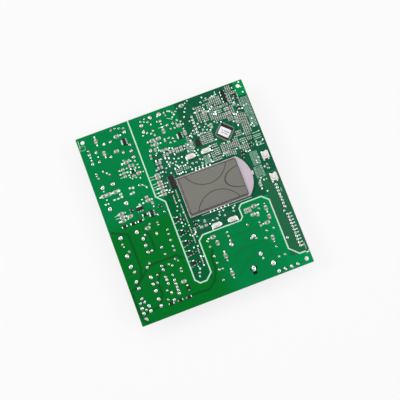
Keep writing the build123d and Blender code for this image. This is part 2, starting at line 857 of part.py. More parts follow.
def across(centre, plane_y):
    """A plane facing along +Y, with its origin above or below a place on the board."""
    return Plane(origin=(centre[0], centre[1] + plane_y, core_height), x_dir=(1, 0, 0), z_dir=(0, 1, 0))


with BuildPart() as transformer_core:
    with BuildSketch(Plane.XY.offset(core_height - core_thickness / 2)):
        with Locations(transformer_centre):
            Rectangle(core_width, core_length)
        with Locations(*around(transformer_centre, [(x * (core_leg + window) / 2, 0) for x in (-1, 1)])):
            Rectangle(window, winding_room, mode=Mode.SUBTRACT)
    extrude(amount=core_thickness)
save(transformer_core.part, "transformer_core")

tube_x = core_leg + bobbin_wall
tube_z = core_thickness + bobbin_wall
flange_width = core_leg + 2 * window - 2 * fit_gap
flange_height = tall_height - bobbin_base
with BuildPart() as transformer_bobbin:
    block(
        [transformer_centre],
        transformer_row_span + 2 * bobbin_border,
        bobbin_length,
        parts_face - bobbin_base,
        parts_face,
    )
    for side in (-1, 1):
        start = side * (winding_room / 2 - fit_gap) - (bobbin_wall if side > 0 else 0)
        with BuildSketch(across(transformer_centre, start)):
            Rectangle(flange_width, flange_height)
        extrude(amount=bobbin_wall)
    with BuildSketch(across(transformer_centre, -winding_room / 2 + fit_gap)):
        Rectangle(tube_x, tube_z)
    extrude(amount=winding_room - 2 * fit_gap)
    with BuildSketch(across(transformer_centre, -winding_room / 2)):
        Rectangle(core_leg, core_thickness)
    extrude(amount=winding_room, mode=Mode.SUBTRACT)
save(transformer_bobbin.part, "transformer_bobbin")

winding_margin = 0.6
winding_corner = 2.0
winding_length = winding_room - 2 * fit_gap - 2 * bobbin_wall
with BuildPart() as transformer_winding:
    with BuildSketch(across(transformer_centre, -winding_length / 2)):
        RectangleRounded(
            flange_width - 2 * winding_margin, flange_height - 2 * winding_margin, winding_corner
        )
        Rectangle(tube_x, tube_z, mode=Mode.SUBTRACT)
    extrude(amount=winding_length)
save(transformer_winding.part, "transformer_winding")

# ---------------------------------------------------------------- hidden side: mains filter choke
choke_base_height = 3.0
choke_leg = 4.5
choke_window = 7.0
choke_core_width = 2 * choke_leg + choke_window
choke_core_length = 25.0
choke_core_thickness = 6.0
choke_coil_length = 14.0
choke_coil_wall = 2.8
choke_base_border = 1.0
coil_height = tall_height - choke_base_height
coil_z = parts_face - choke_base_height - coil_height / 2

with BuildPart() as choke_base:
    block(
        [choke_centre],
        choke_core_width + 2 * choke_base_border,
        choke_core_length + 2 * choke_base_border,
        parts_face - choke_base_height,
        parts_face,
    )
save(choke_base.part, "choke_base")

with BuildPart() as choke_core:
    with BuildSketch(Plane.XY.offset(coil_z - choke_core_thickness / 2)):
        with Locations(choke_centre):
            Rectangle(choke_core_width, choke_core_length)
            Rectangle(choke_window, choke_core_length - 2 * choke_leg, mode=Mode.SUBTRACT)
    extrude(amount=choke_core_thickness)
save(choke_core.part, "choke_core")

choke_leg_x = (choke_window + choke_leg) / 2
with BuildPart() as choke_windings:
    with BuildSketch(
        Plane(
            origin=(choke_centre[0], choke_centre[1] - choke_coil_length / 2, coil_z),
            x_dir=(1, 0, 0),
            z_dir=(0, 1, 0),
        )
    ):
        with Locations((-choke_leg_x, 0), (choke_leg_x, 0)):
            RectangleRounded(choke_leg + 2 * choke_coil_wall, coil_height, choke_coil_wall)
            Rectangle(choke_leg, choke_core_thickness, mode=Mode.SUBTRACT)
    extrude(amount=choke_coil_length)
save(choke_windings.part, "choke_windings")

# ---------------------------------------------------------------- hidden side: blocks and cans


def hang(centres, width, depth, height, turn=0.0):
    """Upright blocks hanging from the parts face, added to the part being built."""
    block(centres, width, depth, parts_face - height, parts_face, turn)


with BuildPart() as relays:
    hang([relay[0] for relay in relays_at], relay_width, relay_depth, relay_height)
    fillet(relays.edges().filter_by(Axis.Z), relay_corner)
save(relays.part, "relays")

with BuildPart() as ignition_transformer:
    hang([igniter_centre], igniter_width, igniter_depth, tall_height)
    chamfer(ignition_transformer.edges().filter_by(Axis.Z), igniter_chamfer)
save(ignition_transformer.part, "ignition_transformer")

with BuildPart() as bridge_rectifier:
    hang([rectifier_centre], rectifier_width, rectifier_depth, rectifier_height)
save(bridge_rectifier.part, "bridge_rectifier")

with BuildPart() as film_capacitors:
    hang(film_centres, film_length, film_depth, film_height)
    fillet(film_capacitors.edges().filter_by(Axis.Z), film_corner)
save(film_capacitors.part, "film_capacitors")

with BuildPart() as varistors:
    for centre, turn in varistor_places:
        start = around(centre, [(0.0, -varistor_thickness / 2)], turn)[0]
        facing = around((0.0, 0.0), [(0.0, 1.0)], turn)[0]
        along = around((0.0, 0.0), [(1.0, 0.0)], turn)[0]
        with BuildSketch(
            Plane(
                origin=(start[0], start[1], parts_face - varistor_d / 2),
                x_dir=(along[0], along[1], 0),
                z_dir=(facing[0], facing[1], 0),
            )
        ):
            Circle(varistor_d / 2)
        extrude(amount=varistor_thickness)
    for centre, turn in varistor_places:
        block([centre], varistor_pitch + lead_d, lead_d, parts_face - foot_depth, parts_face, turn)
save(varistors.part, "varistors")

for name, centres, diameter, height in (
    ("bulk_capacitor", [bulk_centre], bulk_d, tall_height),
    ("output_capacitor", [output_centre], output_d, tall_height),
    ("small_capacitors", [centre for centre, _ in can_places], can_d, can_height),
):
    with BuildPart() as cans:
        post(centres, diameter, parts_face - height, parts_face)
    save(cans.part, name)

with BuildPart() as output_choke:
    post([output_choke_centre], output_choke_d, parts_face - output_choke_height, parts_face)
    block(output_choke_pins, lead_d, lead_d, parts_face - foot_depth, parts_face)
save(output_choke.part, "output_choke")

with BuildPart() as quartz_crystal:
    with BuildSketch(Plane.XY.offset(parts_face - crystal_height)):
        with Locations(crystal_centre):
            SlotOverall(crystal_length, crystal_depth, rotation=crystal_turn)
    extrude(amount=crystal_height)
save(quartz_crystal.part, "quartz_crystal")

# ---------------------------------------------------------------- hidden side: fuse
fuse_z = parts_face - fuse_axis_drop
fuse_glass_step = 0.2
clip_mouth = 0.8


def fuse_plane(along):
    """A plane facing along the fuse, this far along it from its middle."""
    return Plane(
        origin=(fuse_centre[0], fuse_centre[1] + along, fuse_z), x_dir=(1, 0, 0), z_dir=(0, 1, 0)
    )


with BuildPart() as fuse_glass:
    with BuildSketch(fuse_plane(-fuse_length / 2 + fuse_cap_length)):
        Circle(fuse_d / 2 - fuse_glass_step)
    extrude(amount=fuse_length - 2 * fuse_cap_length)
save(fuse_glass.part, "fuse_glass")

with BuildPart() as fuse_caps:
    for along in (-fuse_length / 2, fuse_length / 2 - fuse_cap_length):
        with BuildSketch(fuse_plane(along)):
            Circle(fuse_d / 2)
        extrude(amount=fuse_cap_length)
save(fuse_caps.part, "fuse_caps")

clip_inner = fuse_d / 2
with BuildPart() as fuse_clips:
    for along in (-clip_spacing / 2, clip_spacing / 2):
        with BuildSketch(fuse_plane(along - clip_length / 2)):
            Rectangle(2 * (clip_inner + clip_wall), 2 * clip_inner)
            with Locations((0, (fuse_axis_drop - clip_inner) / 2 + clip_inner)):
                Rectangle(clip_width, fuse_axis_drop - clip_inner)
            Circle(clip_inner, mode=Mode.SUBTRACT)
            with Locations((0, -clip_inner)):
                Rectangle(2 * clip_inner * clip_mouth, 2 * clip_inner, mode=Mode.SUBTRACT)
        extrude(amount=clip_length)
save(fuse_clips.part, "fuse_clips")

# ---------------------------------------------------------------- hidden side: connectors


def shroud(centre, length, depth, height):
    """A connector housing: a base under the board with four walls round its pins."""
    hang([centre], length, depth, height)
    inner_length, inner_depth = length - 2 * connector_wall, depth - 2 * connector_wall
    low = parts_face - height
    with BuildSketch(Plane.XY.offset(low)) as mouth:
        with Locations(centre):
            Rectangle(inner_length, inner_depth)
    extrude(mouth.sketch, amount=height - connector_base, mode=Mode.SUBTRACT)


def pin_holes(pins, high, low):
    """Square holes for connector pins through a base."""
    with BuildSketch(Plane.XY.offset(low)) as holes:
        with Locations(*pins):
            Rectangle(connector_pin, connector_pin)
    extrude(holes.sketch, amount=high - low, mode=Mode.SUBTRACT)


power_length = (power_ways - 1) * power_pitch + 2 * header_overhang
power_middle = (power_centre[0], power_centre[1] + power_offset)
with BuildPart() as power_connector:
    shroud(power_middle, power_length, power_depth, power_height)
    pin_holes(power_pins, parts_face, parts_face - connector_base)
save(power_connector.part, "power_connector")

with BuildPart() as edge_connectors:
    for centre, ways in zip(edge_centres, edge_ways):
        shroud(centre, edge_depth, (ways - 1) * edge_pitch + 2 * header_overhang, edge_height)
    pin_holes(edge_pins, parts_face, parts_face - connector_base)
save(edge_connectors.part, "edge_connectors")

with BuildPart() as service_header:
    hang([service_centre], service_depth, service_ways * edge_pitch, service_height)
    pin_holes(service_pins, parts_face, parts_face - service_height)
save(service_header.part, "service_header")

pin_recess = 1.0
with BuildPart() as connector_pins:
    block(power_pins, connector_pin, connector_pin, parts_face - power_height + pin_recess, solder_face)
    block(edge_pins, connector_pin, connector_pin, parts_face - edge_height + pin_recess, solder_face)
    block(
        service_pins,
        connector_pin,
        connector_pin,
        parts_face - service_height - service_pin_reach,
        solder_face,
    )
save(connector_pins.part, "connector_pins")

with BuildPart() as ignition_spade:
    block([spade_centre], spade_width, spade_blade, parts_face - spade_length, solder_face)
save(ignition_spade.part, "ignition_spade")

# ---------------------------------------------------------------- hidden side: two-legged parts


def spanning(span, drop):
    """A plane at the middle of a span, with x along it and y down from the board, and its length."""
    (x1, y1), (x2, y2) = at(*span[0]), at(*span[1])
    length = math.hypot(x2 - x1, y2 - y1)
    along = ((x2 - x1) / length, (y2 - y1) / length, 0)
    middle = ((x1 + x2) / 2, (y1 + y2) / 2, parts_face - drop)
    return Plane(origin=middle, x_dir=along, z_dir=(-along[1], along[0], 0)), length


wire_d = 0.6
with BuildPart() as axial_resistors:
    for span in resistor_spans:
        side, length = spanning(span, resistor_d / 2)
        with BuildSketch(Plane(origin=side.origin, x_dir=side.z_dir, z_dir=side.x_dir)):
            RegularPolygon(resistor_d / 2, resistor_sides)
        extrude(amount=resistor_length / 2, both=True)
save(axial_resistors.part, "axial_resistors")

with BuildPart() as disc_capacitors:
    for span in disc_spans:
        side, length = spanning(span, 0.0)
        with BuildSketch(side):
            with Locations((0, disc_d / 2)):
                Circle(disc_d / 2)
            with Locations((0, lead_d / 2)):
                Rectangle(length + lead_d, lead_d)
        extrude(amount=disc_thickness / 2, both=True)
save(disc_capacitors.part, "disc_capacitors")

with BuildPart() as wire_links:
    for span in resistor_spans:
        side, length = spanning(span, 0.0)
        with BuildSketch(side):
            for end in (-1, 1):
                with BuildLine():
                    Polyline(
                        (end * (length + wire_d) / 2, 0),
                        (end * (length + wire_d) / 2, (resistor_d + wire_d) / 2),
                        (end * resistor_length / 2, (resistor_d + wire_d) / 2),
                        (end * resistor_length / 2, (resistor_d - wire_d) / 2),
                        (end * (length - wire_d) / 2, (resistor_d - wire_d) / 2),
                        (end * (length - wire_d) / 2, 0),
                        close=True,
                    )
                make_face()
        extrude(amount=wire_d / 2, both=True)
    for span in link_spans:
        side, length = spanning(span, 0.0)
        with BuildSketch(side):
            with Locations((0, wire_d / 2)):
                Rectangle(length + lead_d, wire_d)
        extrude(amount=wire_d / 2, both=True)
save(wire_links.part, "wire_links")
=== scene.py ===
# %% [markdown]
# # A boiler control board
# The board lies with its solder side and display up. The measured model comes in as a fixed frame,
# and each cell after that makes one kind of real piece or one finish.

import math
import random

import bmesh
import bpy
from mathutils import Matrix, Vector


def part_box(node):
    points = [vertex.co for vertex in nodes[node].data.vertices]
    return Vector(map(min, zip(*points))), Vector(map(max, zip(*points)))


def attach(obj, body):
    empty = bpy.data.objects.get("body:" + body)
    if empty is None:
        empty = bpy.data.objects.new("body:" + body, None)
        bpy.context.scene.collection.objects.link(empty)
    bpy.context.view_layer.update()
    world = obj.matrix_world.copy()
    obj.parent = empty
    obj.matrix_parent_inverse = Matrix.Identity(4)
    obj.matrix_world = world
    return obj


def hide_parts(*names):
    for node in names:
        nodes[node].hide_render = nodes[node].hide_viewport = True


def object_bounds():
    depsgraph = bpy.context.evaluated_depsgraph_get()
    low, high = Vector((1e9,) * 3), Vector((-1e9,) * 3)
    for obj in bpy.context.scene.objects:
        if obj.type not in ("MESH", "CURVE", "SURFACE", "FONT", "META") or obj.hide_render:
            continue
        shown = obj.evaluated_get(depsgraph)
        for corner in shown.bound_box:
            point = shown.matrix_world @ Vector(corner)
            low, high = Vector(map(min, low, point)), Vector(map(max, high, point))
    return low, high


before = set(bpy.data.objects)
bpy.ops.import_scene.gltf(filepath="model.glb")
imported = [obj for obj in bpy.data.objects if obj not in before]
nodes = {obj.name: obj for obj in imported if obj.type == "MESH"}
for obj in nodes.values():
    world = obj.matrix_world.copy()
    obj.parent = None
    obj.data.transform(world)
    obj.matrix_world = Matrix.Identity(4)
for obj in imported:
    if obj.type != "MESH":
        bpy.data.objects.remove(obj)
cad_box = [list(corner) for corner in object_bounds()]
MM = 0.001
board_low, board_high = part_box("circuit_board")
board_size = board_high - board_low
solder_face = board_high.z
parts_face = board_low.z
print("board", [round(side / MM, 1) for side in board_size], "mm")

# %% [markdown]
# ## The camera
# The board is seen from almost straight above, turned a little. A camera is a place, the direction it
# looks along and the direction that is up in its picture, so its turn is a matrix of those three.

# %% Camera


def placed(name, data):
    """A new object in the scene, made from its data."""
    made = bpy.data.objects.new(name, data)
    bpy.context.scene.collection.objects.link(made)
    return made


camera_place = Vector((-0.01894, -0.06686, 0.49542))
look_along = Vector((0.0474, 0.1298, -0.9904)).normalized()
picture_up = Vector((0.3508, 0.9262, 0.1382))
lens_length = 59.84

camera = placed("camera", bpy.data.cameras.new("camera"))
camera.data.lens = lens_length
camera.data.clip_start = 0.01
bpy.context.scene.camera = camera
picture_right = look_along.cross(picture_up).normalized()
picture_up = picture_right.cross(look_along)
turned = Matrix((picture_right, picture_up, -look_along)).transposed()
camera.matrix_world = Matrix.Translation(camera_place) @ turned.to_4x4()
print("camera height", round(camera_place.z / MM), "mm")

# %% [markdown]
# ## Nodes
# Light and finishes are both chains of nodes, each fed by numbers or by the nodes before it. A few
# helpers set a node up in one call, so that every chain below reads as what it works out.

# %% Nodes


def feed(tree, node, *values, **named):
    """Gives a node its settings, named in lower case, and its inputs, in order or by name.

    An input takes a value or another node's socket.
    """
    for name, value in named.items():
        if name.islower():
            setattr(node, name, value)
    inputs = list(zip(node.inputs, values))
    inputs += [(node.inputs[n.replace("_", " ")], v) for n, v in named.items() if not n.islower()]
    for socket, value in inputs:
        if isinstance(value, bpy.types.NodeSocket):
            tree.links.new(value, socket)
        else:
            socket.default_value = value
    return node


def add(tree, kind, *values, **named):
    """A new shader node with its settings and inputs."""
    return feed(tree, tree.nodes.new("ShaderNode" + kind), *values, **named)


def sum_of(tree, operation, first, second=0.0):
    """A math node on two values or sockets."""
    return add(tree, "Math", first, second, operation=operation).outputs[0]


def greatest(tree, *sockets):
    """The greatest of several sockets."""
    result = sockets[0]
    for socket in sockets[1:]:
        result = sum_of(tree, "MAXIMUM", result, socket)
    return result


def coordinates(tree):
    """The place on the object itself."""
    return add(tree, "TexCoord").outputs["Object"]


def axes_of(tree):
    """The three axes of the place on the object."""
    return add(tree, "SeparateXYZ", coordinates(tree)).outputs


print("helpers for nodes", [helper.__name__ for helper in (feed, add, sum_of, greatest)])

# %% [markdown]
# ## Light
# Bare metal only looks like metal when it has bright and dark things to mirror. The world is a dome
# that is white overhead and underfoot, and dimmer towards the horizon. The camera itself sees it plain
# and pale. A wide lamp hangs over the board, so that flat solder shines, and three smaller ones stand
# round it. Two more below light the far face.

# %% Light
bpy.context.scene.view_settings.view_transform = "Standard"
world = bpy.data.worlds.new("studio")
bpy.context.scene.world = world
world.use_nodes = True
dome_strength = 0.5
backdrop_strength = 0.95
white = (1.0, 1.0, 1.0, 1.0)
horizon_grey = (0.16, 0.16, 0.17, 1.0)
dome = world.node_tree
upward = add(dome, "SeparateXYZ", add(dome, "TexCoord").outputs["Generated"]).outputs["Z"]
shade = add(dome, "ValToRGB", sum_of(dome, "ABSOLUTE", upward))
for stop, height, colour in zip(shade.color_ramp.elements, (0.1, 0.75), (horizon_grey, white)):
    stop.position, stop.color = height, colour
dome_light = feed(dome, dome.nodes["Background"], shade.outputs[0], dome_strength)
backdrop = add(dome, "Background", white, backdrop_strength)
to_camera = add(dome, "LightPath").outputs["Is Camera Ray"]
dome_or_backdrop = add(dome, "MixShader", to_camera, dome_light.outputs[0], backdrop.outputs[0])
feed(dome, dome.nodes["World Output"], dome_or_backdrop.outputs[0])

# Each lamp's name, place, size in metres and power in watts.
lamps = (
    ("lamp_over", (0.04, 0.15, 1.1), 0.7, 2.5),
    ("lamp_left", (-0.55, 0.25, 0.75), 0.35, 2.3),
    ("lamp_right", (0.6, -0.2, 0.8), 0.4, 1.8),
    ("lamp_far", (0.1, 0.6, 1.0), 0.5, 1.3),
    ("lamp_under", (-0.35, -0.3, -0.9), 0.6, 2.2),
    ("lamp_under_side", (0.6, 0.35, -0.6), 0.4, 1.4),
)
for name, place, size, watts in lamps:
    lamp = placed(name, bpy.data.lights.new(name, "AREA"))
    lamp.data.size, lamp.data.energy = size, watts
    lamp.location = place
    lamp.rotation_euler = (-Vector(place)).to_track_quat("-Z", "Y").to_euler()
print("lamps", len(lamps))

# %% [markdown]
# ## The floor
# The floor is pale. It looks white to the camera and in mirrors, because a light of strength 1 shows
# there as pure white, and mixed with plain paint it still takes a soft shadow. Under the board the glow
# is weakened, a painted shadow where little light reaches. The floor's lower side is clear, and so is
# the whole floor to the light of the lamps, so that the board's far face is lit and can be seen from below.

# %% Floor
FINISHES = {}


def new_material(name):
    """An empty finish, kept under its name: its node tree and its shader."""
    FINISHES[name] = bpy.data.materials.new(name)
    FINISHES[name].use_nodes = True
    tree = FINISHES[name].node_tree
    return tree, tree.nodes["Principled BSDF"]


def plain_mesh(name, corners, faces=()):
    """A mesh from its corners and faces."""
    data = bpy.data.meshes.new(name)
    data.from_pydata(corners, [], faces)
    return data


floor_share_of_glow = 0.78
painted_shadow_share = 0.12
shade_depth = 2 * MM
floor_drop = 0.2 * MM
floor_half = 1.6
tree, shader = new_material("pale_floor")
feed(tree, shader, Base_Color=(0.86, 0.86, 0.86, 1.0), Roughness=0.9)
path = add(tree, "LightPath").outputs
seen = greatest(tree, *(path[f"Is {kind} Ray"] for kind in ("Camera", "Glossy", "Transmission")))
axes = axes_of(tree)
past_sides, past_ends = (
    sum_of(tree, "SUBTRACT", sum_of(tree, "ABSOLUTE", axis), reach / 2)
    for axis, reach in zip(axes, board_size.xy)
)
past_board = greatest(tree, past_sides, past_ends)
# Painted shadow: the floor's glow is dimmed under the board.
share = add(tree, "MapRange", past_board, -shade_depth, 0.0, painted_shadow_share, floor_share_of_glow)
glow = sum_of(tree, "MULTIPLY", seen, share.outputs[0])
mixed = add(tree, "MixShader", glow, shader.outputs[0], add(tree, "Emission").outputs[0])
from_below = greatest(tree, add(tree, "NewGeometry").outputs["Backfacing"], path["Is Shadow Ray"])
clear = add(tree, "BsdfTransparent").outputs[0]
floor_or_clear = add(tree, "MixShader", from_below, mixed.outputs[0], clear)
feed(tree, tree.nodes["Material Output"], floor_or_clear.outputs[0])

floor_z = cad_box[0][2] - floor_drop
corners = [(x * floor_half, y * floor_half, floor_z) for x, y in ((-1, -1), (1, -1), (1, 1), (-1, 1))]
floor_mesh = plain_mesh("floor", corners, [range(4)])
floor_mesh.materials.append(FINISHES["pale_floor"])
floor = placed("floor", floor_mesh)
print("floor at", round(floor_z / MM, 1), "mm")

# %% [markdown]
# ## A shared grain
# Every moulded, coated or metal surface varies a little in colour, gloss and height. One node group
# gives those, with the grain's size and strengths as inputs, and each material sets its own values.

# %% Shared grain


def paint(*colour):
    """A colour given from 0 to 255, as the linear values that a shader takes."""
    return [((c / 255 + 0.055) / 1.055) ** 2.4 if c > 10 else c / 3294.6 for c in colour] + [1.0]


def group_of(name, inputs, outputs):
    """A new shader node group with named sockets, what comes into it, and its end node."""
    group = bpy.data.node_groups.new(name, "ShaderNodeTree")
    for side, sockets in (("INPUT", inputs), ("OUTPUT", outputs)):
        for socket, kind in sockets.items():
            group.interface.new_socket(socket, in_out=side, socket_type="NodeSocket" + kind)
    return group, group.nodes.new("NodeGroupInput").outputs, group.nodes.new("NodeGroupOutput")


GRAIN, given, grain_out = group_of(
    "surface_grain",
    {"Colour A": "Color", "Colour B": "Color", "Scale": "Float", "Smooth": "Float", "Rough": "Float",
     "Bump": "Float"},
    {"Colour": "Color", "Roughness": "Float", "Normal": "Vector", "Value": "Float"},
)
patch_size = 0.15
grain_depth = 0.1 * MM
here = coordinates(GRAIN)
fine = add(GRAIN, "TexNoise", Vector=here, Scale=given["Scale"], Detail=4.0).outputs["Fac"]
patch_scale = sum_of(GRAIN, "MULTIPLY", given["Scale"], patch_size)
patches = add(GRAIN, "TexNoise", Vector=here, Scale=patch_scale, Detail=1.0).outputs["Fac"]
blend = add(GRAIN, "Mix", data_type="RGBA", Factor=patches, A=given["Colour A"], B=given["Colour B"])
gloss = add(GRAIN, "MapRange", Value=fine, To_Min=given["Smooth"], To_Max=given["Rough"])
relief = add(GRAIN, "Bump", Strength=given["Bump"], Distance=grain_depth, Height=fine)
feed(GRAIN, grain_out, blend.outputs["Result"], gloss.outputs[0], relief.outputs[0], fine)


def finish(name, colours, scale, gloss, bump, metallic=0.0, specular=0.5):
    """A finish whose colour, gloss and height vary with the shared grain."""
    tree, shader = new_material(name)
    values = (*(paint(*colour) for colour in colours), scale, *gloss, bump)
    grain = add(tree, "Group", *values, node_tree=GRAIN).outputs
    feed(
        tree, shader, Base_Color=grain["Colour"], Roughness=grain["Roughness"], Normal=grain["Normal"],
        Metallic=metallic, Specular_IOR_Level=specular,
    )


print("grain inputs", [socket.name for socket in given if socket.name])

# %% [markdown]
# ## The finishes
# One line for each finish: two colours that it drifts between, the size of its grain in turns per
# metre, its range of gloss and the depth of its grain. Last come its share of metal and, where that
# isn't the usual half, how strongly it mirrors.

# %% Finishes
for row in (
    # Solder, dull_tin and chip_tin are grey metal with a green tint that is a painted reflection of the
    # green board.
    ("solder", ((248, 255, 251), (222, 240, 230)), 1500, (0.16, 0.34), 0.4, 0.85),
    ("tinned_wire", ((232, 232, 228), (200, 200, 198)), 2600, (0.2, 0.45), 0.3, 1.0),
    ("dull_tin", ((150, 166, 158), (118, 132, 124)), 3000, (0.4, 0.6), 0.3, 0.7),
    ("chip_tin", ((216, 236, 226), (164, 188, 176)), 2400, (0.35, 0.5), 0.3, 0.6),
    ("steel_can", ((206, 206, 204), (180, 180, 178)), 1800, (0.25, 0.4), 0.3, 1.0),
    ("can_metal", ((206, 208, 210), (184, 186, 190)), 1800, (0.3, 0.45), 0.3, 0.7),
    ("plated_brass", ((214, 206, 184), (188, 178, 152)), 2200, (0.22, 0.42), 0.3, 1.0),
    ("copper_winding", ((184, 96, 56), (150, 70, 38)), 2400, (0.2, 0.35), 0.3, 1.0),
    ("black_epoxy", ((22, 23, 24), (33, 33, 34)), 5200, (0.45, 0.65), 0.5, 0.0, 0.25),
    ("tan_ceramic", ((194, 156, 148), (150, 118, 112)), 2400, (0.4, 0.6), 0.3),
    ("dark_ceramic", ((174, 140, 136), (100, 84, 86)), 2600, (0.3, 0.5), 0.2),
    ("ferrite", ((62, 60, 62), (44, 43, 45)), 3800, (0.5, 0.75), 0.8),
    ("key_plastic", ((238, 235, 230), (226, 221, 216)), 2200, (0.35, 0.5), 0.15),
    ("bobbin_plastic", ((40, 40, 42), (30, 30, 31)), 3000, (0.4, 0.6), 0.4),
    ("connector_white", ((236, 232, 220), (226, 220, 206)), 2200, (0.4, 0.55), 0.3),
    ("connector_black", ((36, 36, 38), (28, 28, 30)), 2600, (0.4, 0.6), 0.4),
    ("relay_case", ((38, 42, 58), (28, 32, 46)), 2600, (0.3, 0.5), 0.3),
    ("potting_case", ((52, 52, 55), (38, 38, 41)), 2400, (0.45, 0.65), 0.4),
    ("film_case", ((196, 186, 160), (182, 170, 142)), 2200, (0.35, 0.5), 0.3),
    ("varistor_coat", ((34, 92, 160), (26, 74, 136)), 1400, (0.3, 0.5), 0.8),
    ("disc_coat", ((196, 128, 64), (172, 104, 48)), 1500, (0.35, 0.5), 0.7),
    ("resistor_coat", ((176, 196, 210), (152, 176, 194)), 1600, (0.3, 0.45), 0.5),
    ("sleeve", ((32, 34, 48), (24, 25, 36)), 900, (0.2, 0.34), 0.2),
    ("sleeve_stripe", ((176, 184, 196), (160, 168, 182)), 1500, (0.3, 0.45), 0.2),
    ("shrink_sleeve", ((34, 34, 36), (24, 24, 26)), 1200, (0.35, 0.5), 0.5),
    # The next finish is painted shade, seen through the slot beside the spade.
    ("dark_rubber", ((14, 14, 15), (8, 8, 9)), 2600, (0.6, 0.8), 0.3, 0.0, 0.2),
    ("seal", ((96, 94, 92), (78, 76, 74)), 1600, (0.4, 0.6), 0.2),
    ("white_film", ((236, 236, 238), (224, 224, 226)), 1500, (0.4, 0.6), 0.1),
    ("border_film", ((116, 114, 110), (98, 97, 94)), 900, (0.4, 0.6), 0.2),
    ("light_guide", ((206, 192, 204), (192, 178, 190)), 420, (0.35, 0.55), 0.5),
    ("display_glass", ((66, 64, 62), (56, 54, 52)), 700, (0.12, 0.25), 0.1),
    ("winding_tape", ((226, 190, 60), (208, 168, 44)), 900, (0.25, 0.4), 0.3),
    ("label_paper", ((250, 250, 252), (240, 240, 244)), 3000, (0.55, 0.7), 0.3),
    ("grey_ink", ((150, 150, 156), (120, 120, 128)), 2600, (0.5, 0.7), 0.2),
    ("print_ink", ((206, 240, 222), (178, 222, 200)), 1800, (0.5, 0.7), 0.3),
    # Painted shade round the feet of joints and lands.
    ("coat_gap", ((12, 52, 32), (8, 40, 26)), 2600, (0.4, 0.6), 0.4, 0.0, 0.1),
    ("worn_coat", ((118, 160, 138), (84, 130, 106)), 1500, (0.45, 0.6), 0.3, 0.0, 0.2),
    ("track_coat", ((22, 118, 78), (12, 100, 62)), 900, (0.35, 0.5), 0.2, 0.0, 0.05),
    ("dark_coat", ((0, 92, 34), (0, 84, 30)), 60, (0.35, 0.5), 0.2, 0.0, 0.05),
    ("faint_coat", ((0, 126, 64), (0, 116, 54)), 60, (0.35, 0.5), 0.2, 0.0, 0.05),
    # Painted shade for the bores of small holes and the scored grooves of can ends.
    ("dark_hole", ((26, 30, 26), (18, 22, 18)), 2600, (0.6, 0.8), 0.2),
    ("brown_band", ((96, 52, 30), (84, 44, 24)), 1500, (0.3, 0.45), 0.2),
    ("black_band", ((22, 22, 24), (16, 16, 18)), 1500, (0.3, 0.45), 0.2),
    ("red_band", ((176, 40, 32), (160, 32, 26)), 1500, (0.3, 0.45), 0.2),
    ("gold_band", ((178, 144, 70), (160, 126, 56)), 1500, (0.3, 0.45), 0.2),
):
    finish(*row)
print("finishes", len(FINISHES))


def coat_nodes(finish_name, *names):
    """Gives nodes of the frame one of the finishes."""
    for name in names:
        data = nodes[name].data
        data.materials.clear()
        data.materials.append(FINISHES[finish_name])


# %% [markdown]
# ## The board's green coat
# A board is woven glass with copper under a green coat. Over solid copper the green is even, and in the
# low-voltage part the copper is a net of diagonal lines, so the coat looks hatched and greyer. Where
# the low-voltage part lies is a sum of plain boxes, so one small group that tests a box is enough.

# %% Masks for the board


def at(x, y):
    """A place on the board in metres, from per cent of its width and height at the lower left corner."""
    return (board_low.x + board_size.x * x / 100, board_low.y + board_size.y * y / 100)


BOX, given, box_out = group_of("inside_box", {"Centre": "Vector", "Half": "Vector"}, {"Value": "Float"})
offset = add(BOX, "VectorMath", coordinates(BOX), given["Centre"], operation="SUBTRACT").outputs[0]
reach = add(BOX, "VectorMath", offset, operation="ABSOLUTE").outputs[0]
past_half = add(BOX, "VectorMath", reach, given["Half"], operation="SUBTRACT").outputs[0]
furthest = greatest(BOX, *add(BOX, "SeparateXYZ", past_half).outputs)
feed(BOX, box_out, sum_of(BOX, "LESS_THAN", furthest, 0.0))


def inside(tree, low, high, bottom=-1.0, ceiling=1.0):
    """A mask socket for a box between two places on the board, at any height unless it is given."""
    spans = [*zip(at(*low), at(*high)), (bottom, ceiling)]
    centre, half = [(a + b) / 2 for a, b in spans], [(b - a) / 2 for a, b in spans]
    return add(tree, "Group", centre, half, node_tree=BOX).outputs[0]


def mix_colour(tree, mask, first, second):
    """A colour socket between two, each a colour or a socket, by a mask."""
    first, second = (paint(*end) if isinstance(end, tuple) else end for end in (first, second))
    return add(tree, "Mix", data_type="RGBA", Factor=mask, A=first, B=second).outputs["Result"]


def noise(tree, scale):
    """A noise socket on the object's own coordinates."""
    return add(tree, "TexNoise", Vector=coordinates(tree), Scale=scale, Detail=2.0).outputs["Fac"]


def drifting(tree, scale, low, high):
    """A value that drifts between two with noise."""
    return add(tree, "MapRange", Value=noise(tree, scale), To_Min=low, To_Max=high).outputs[0]


def diagonal_lines(tree, pitch, share):
    """A mask of thin lines along both diagonals of the board."""
    axes, lines = axes_of(tree), []
    for operation in ("ADD", "SUBTRACT"):
        along = sum_of(tree, operation, axes["X"], axes["Y"])
        step = sum_of(tree, "FRACT", sum_of(tree, "MULTIPLY", along, 1 / (pitch * math.sqrt(2))))
        lines.append(sum_of(tree, "LESS_THAN", step, share))
    return greatest(tree, *lines)


def ramp(tree, axis, low, high):
    """A socket that rises from 0 to 1 between two places along an axis of the board."""
    place = axes_of(tree)["XY"[axis]]
    low, high = at(low, low)[axis], at(high, high)[axis]
    return add(tree, "MapRange", place, low, high, interpolation_type="SMOOTHSTEP").outputs[0]


print("box inputs", [socket.name for socket in given if socket.name])

# %% [markdown]
# The greens are mixed from the back forward. Solid copper comes first, bluer towards the top and the
# right, then the tongue between the mains parts, then the hatched boxes. The cut edges show bare
# laminate, which is everything outside the board's skin.

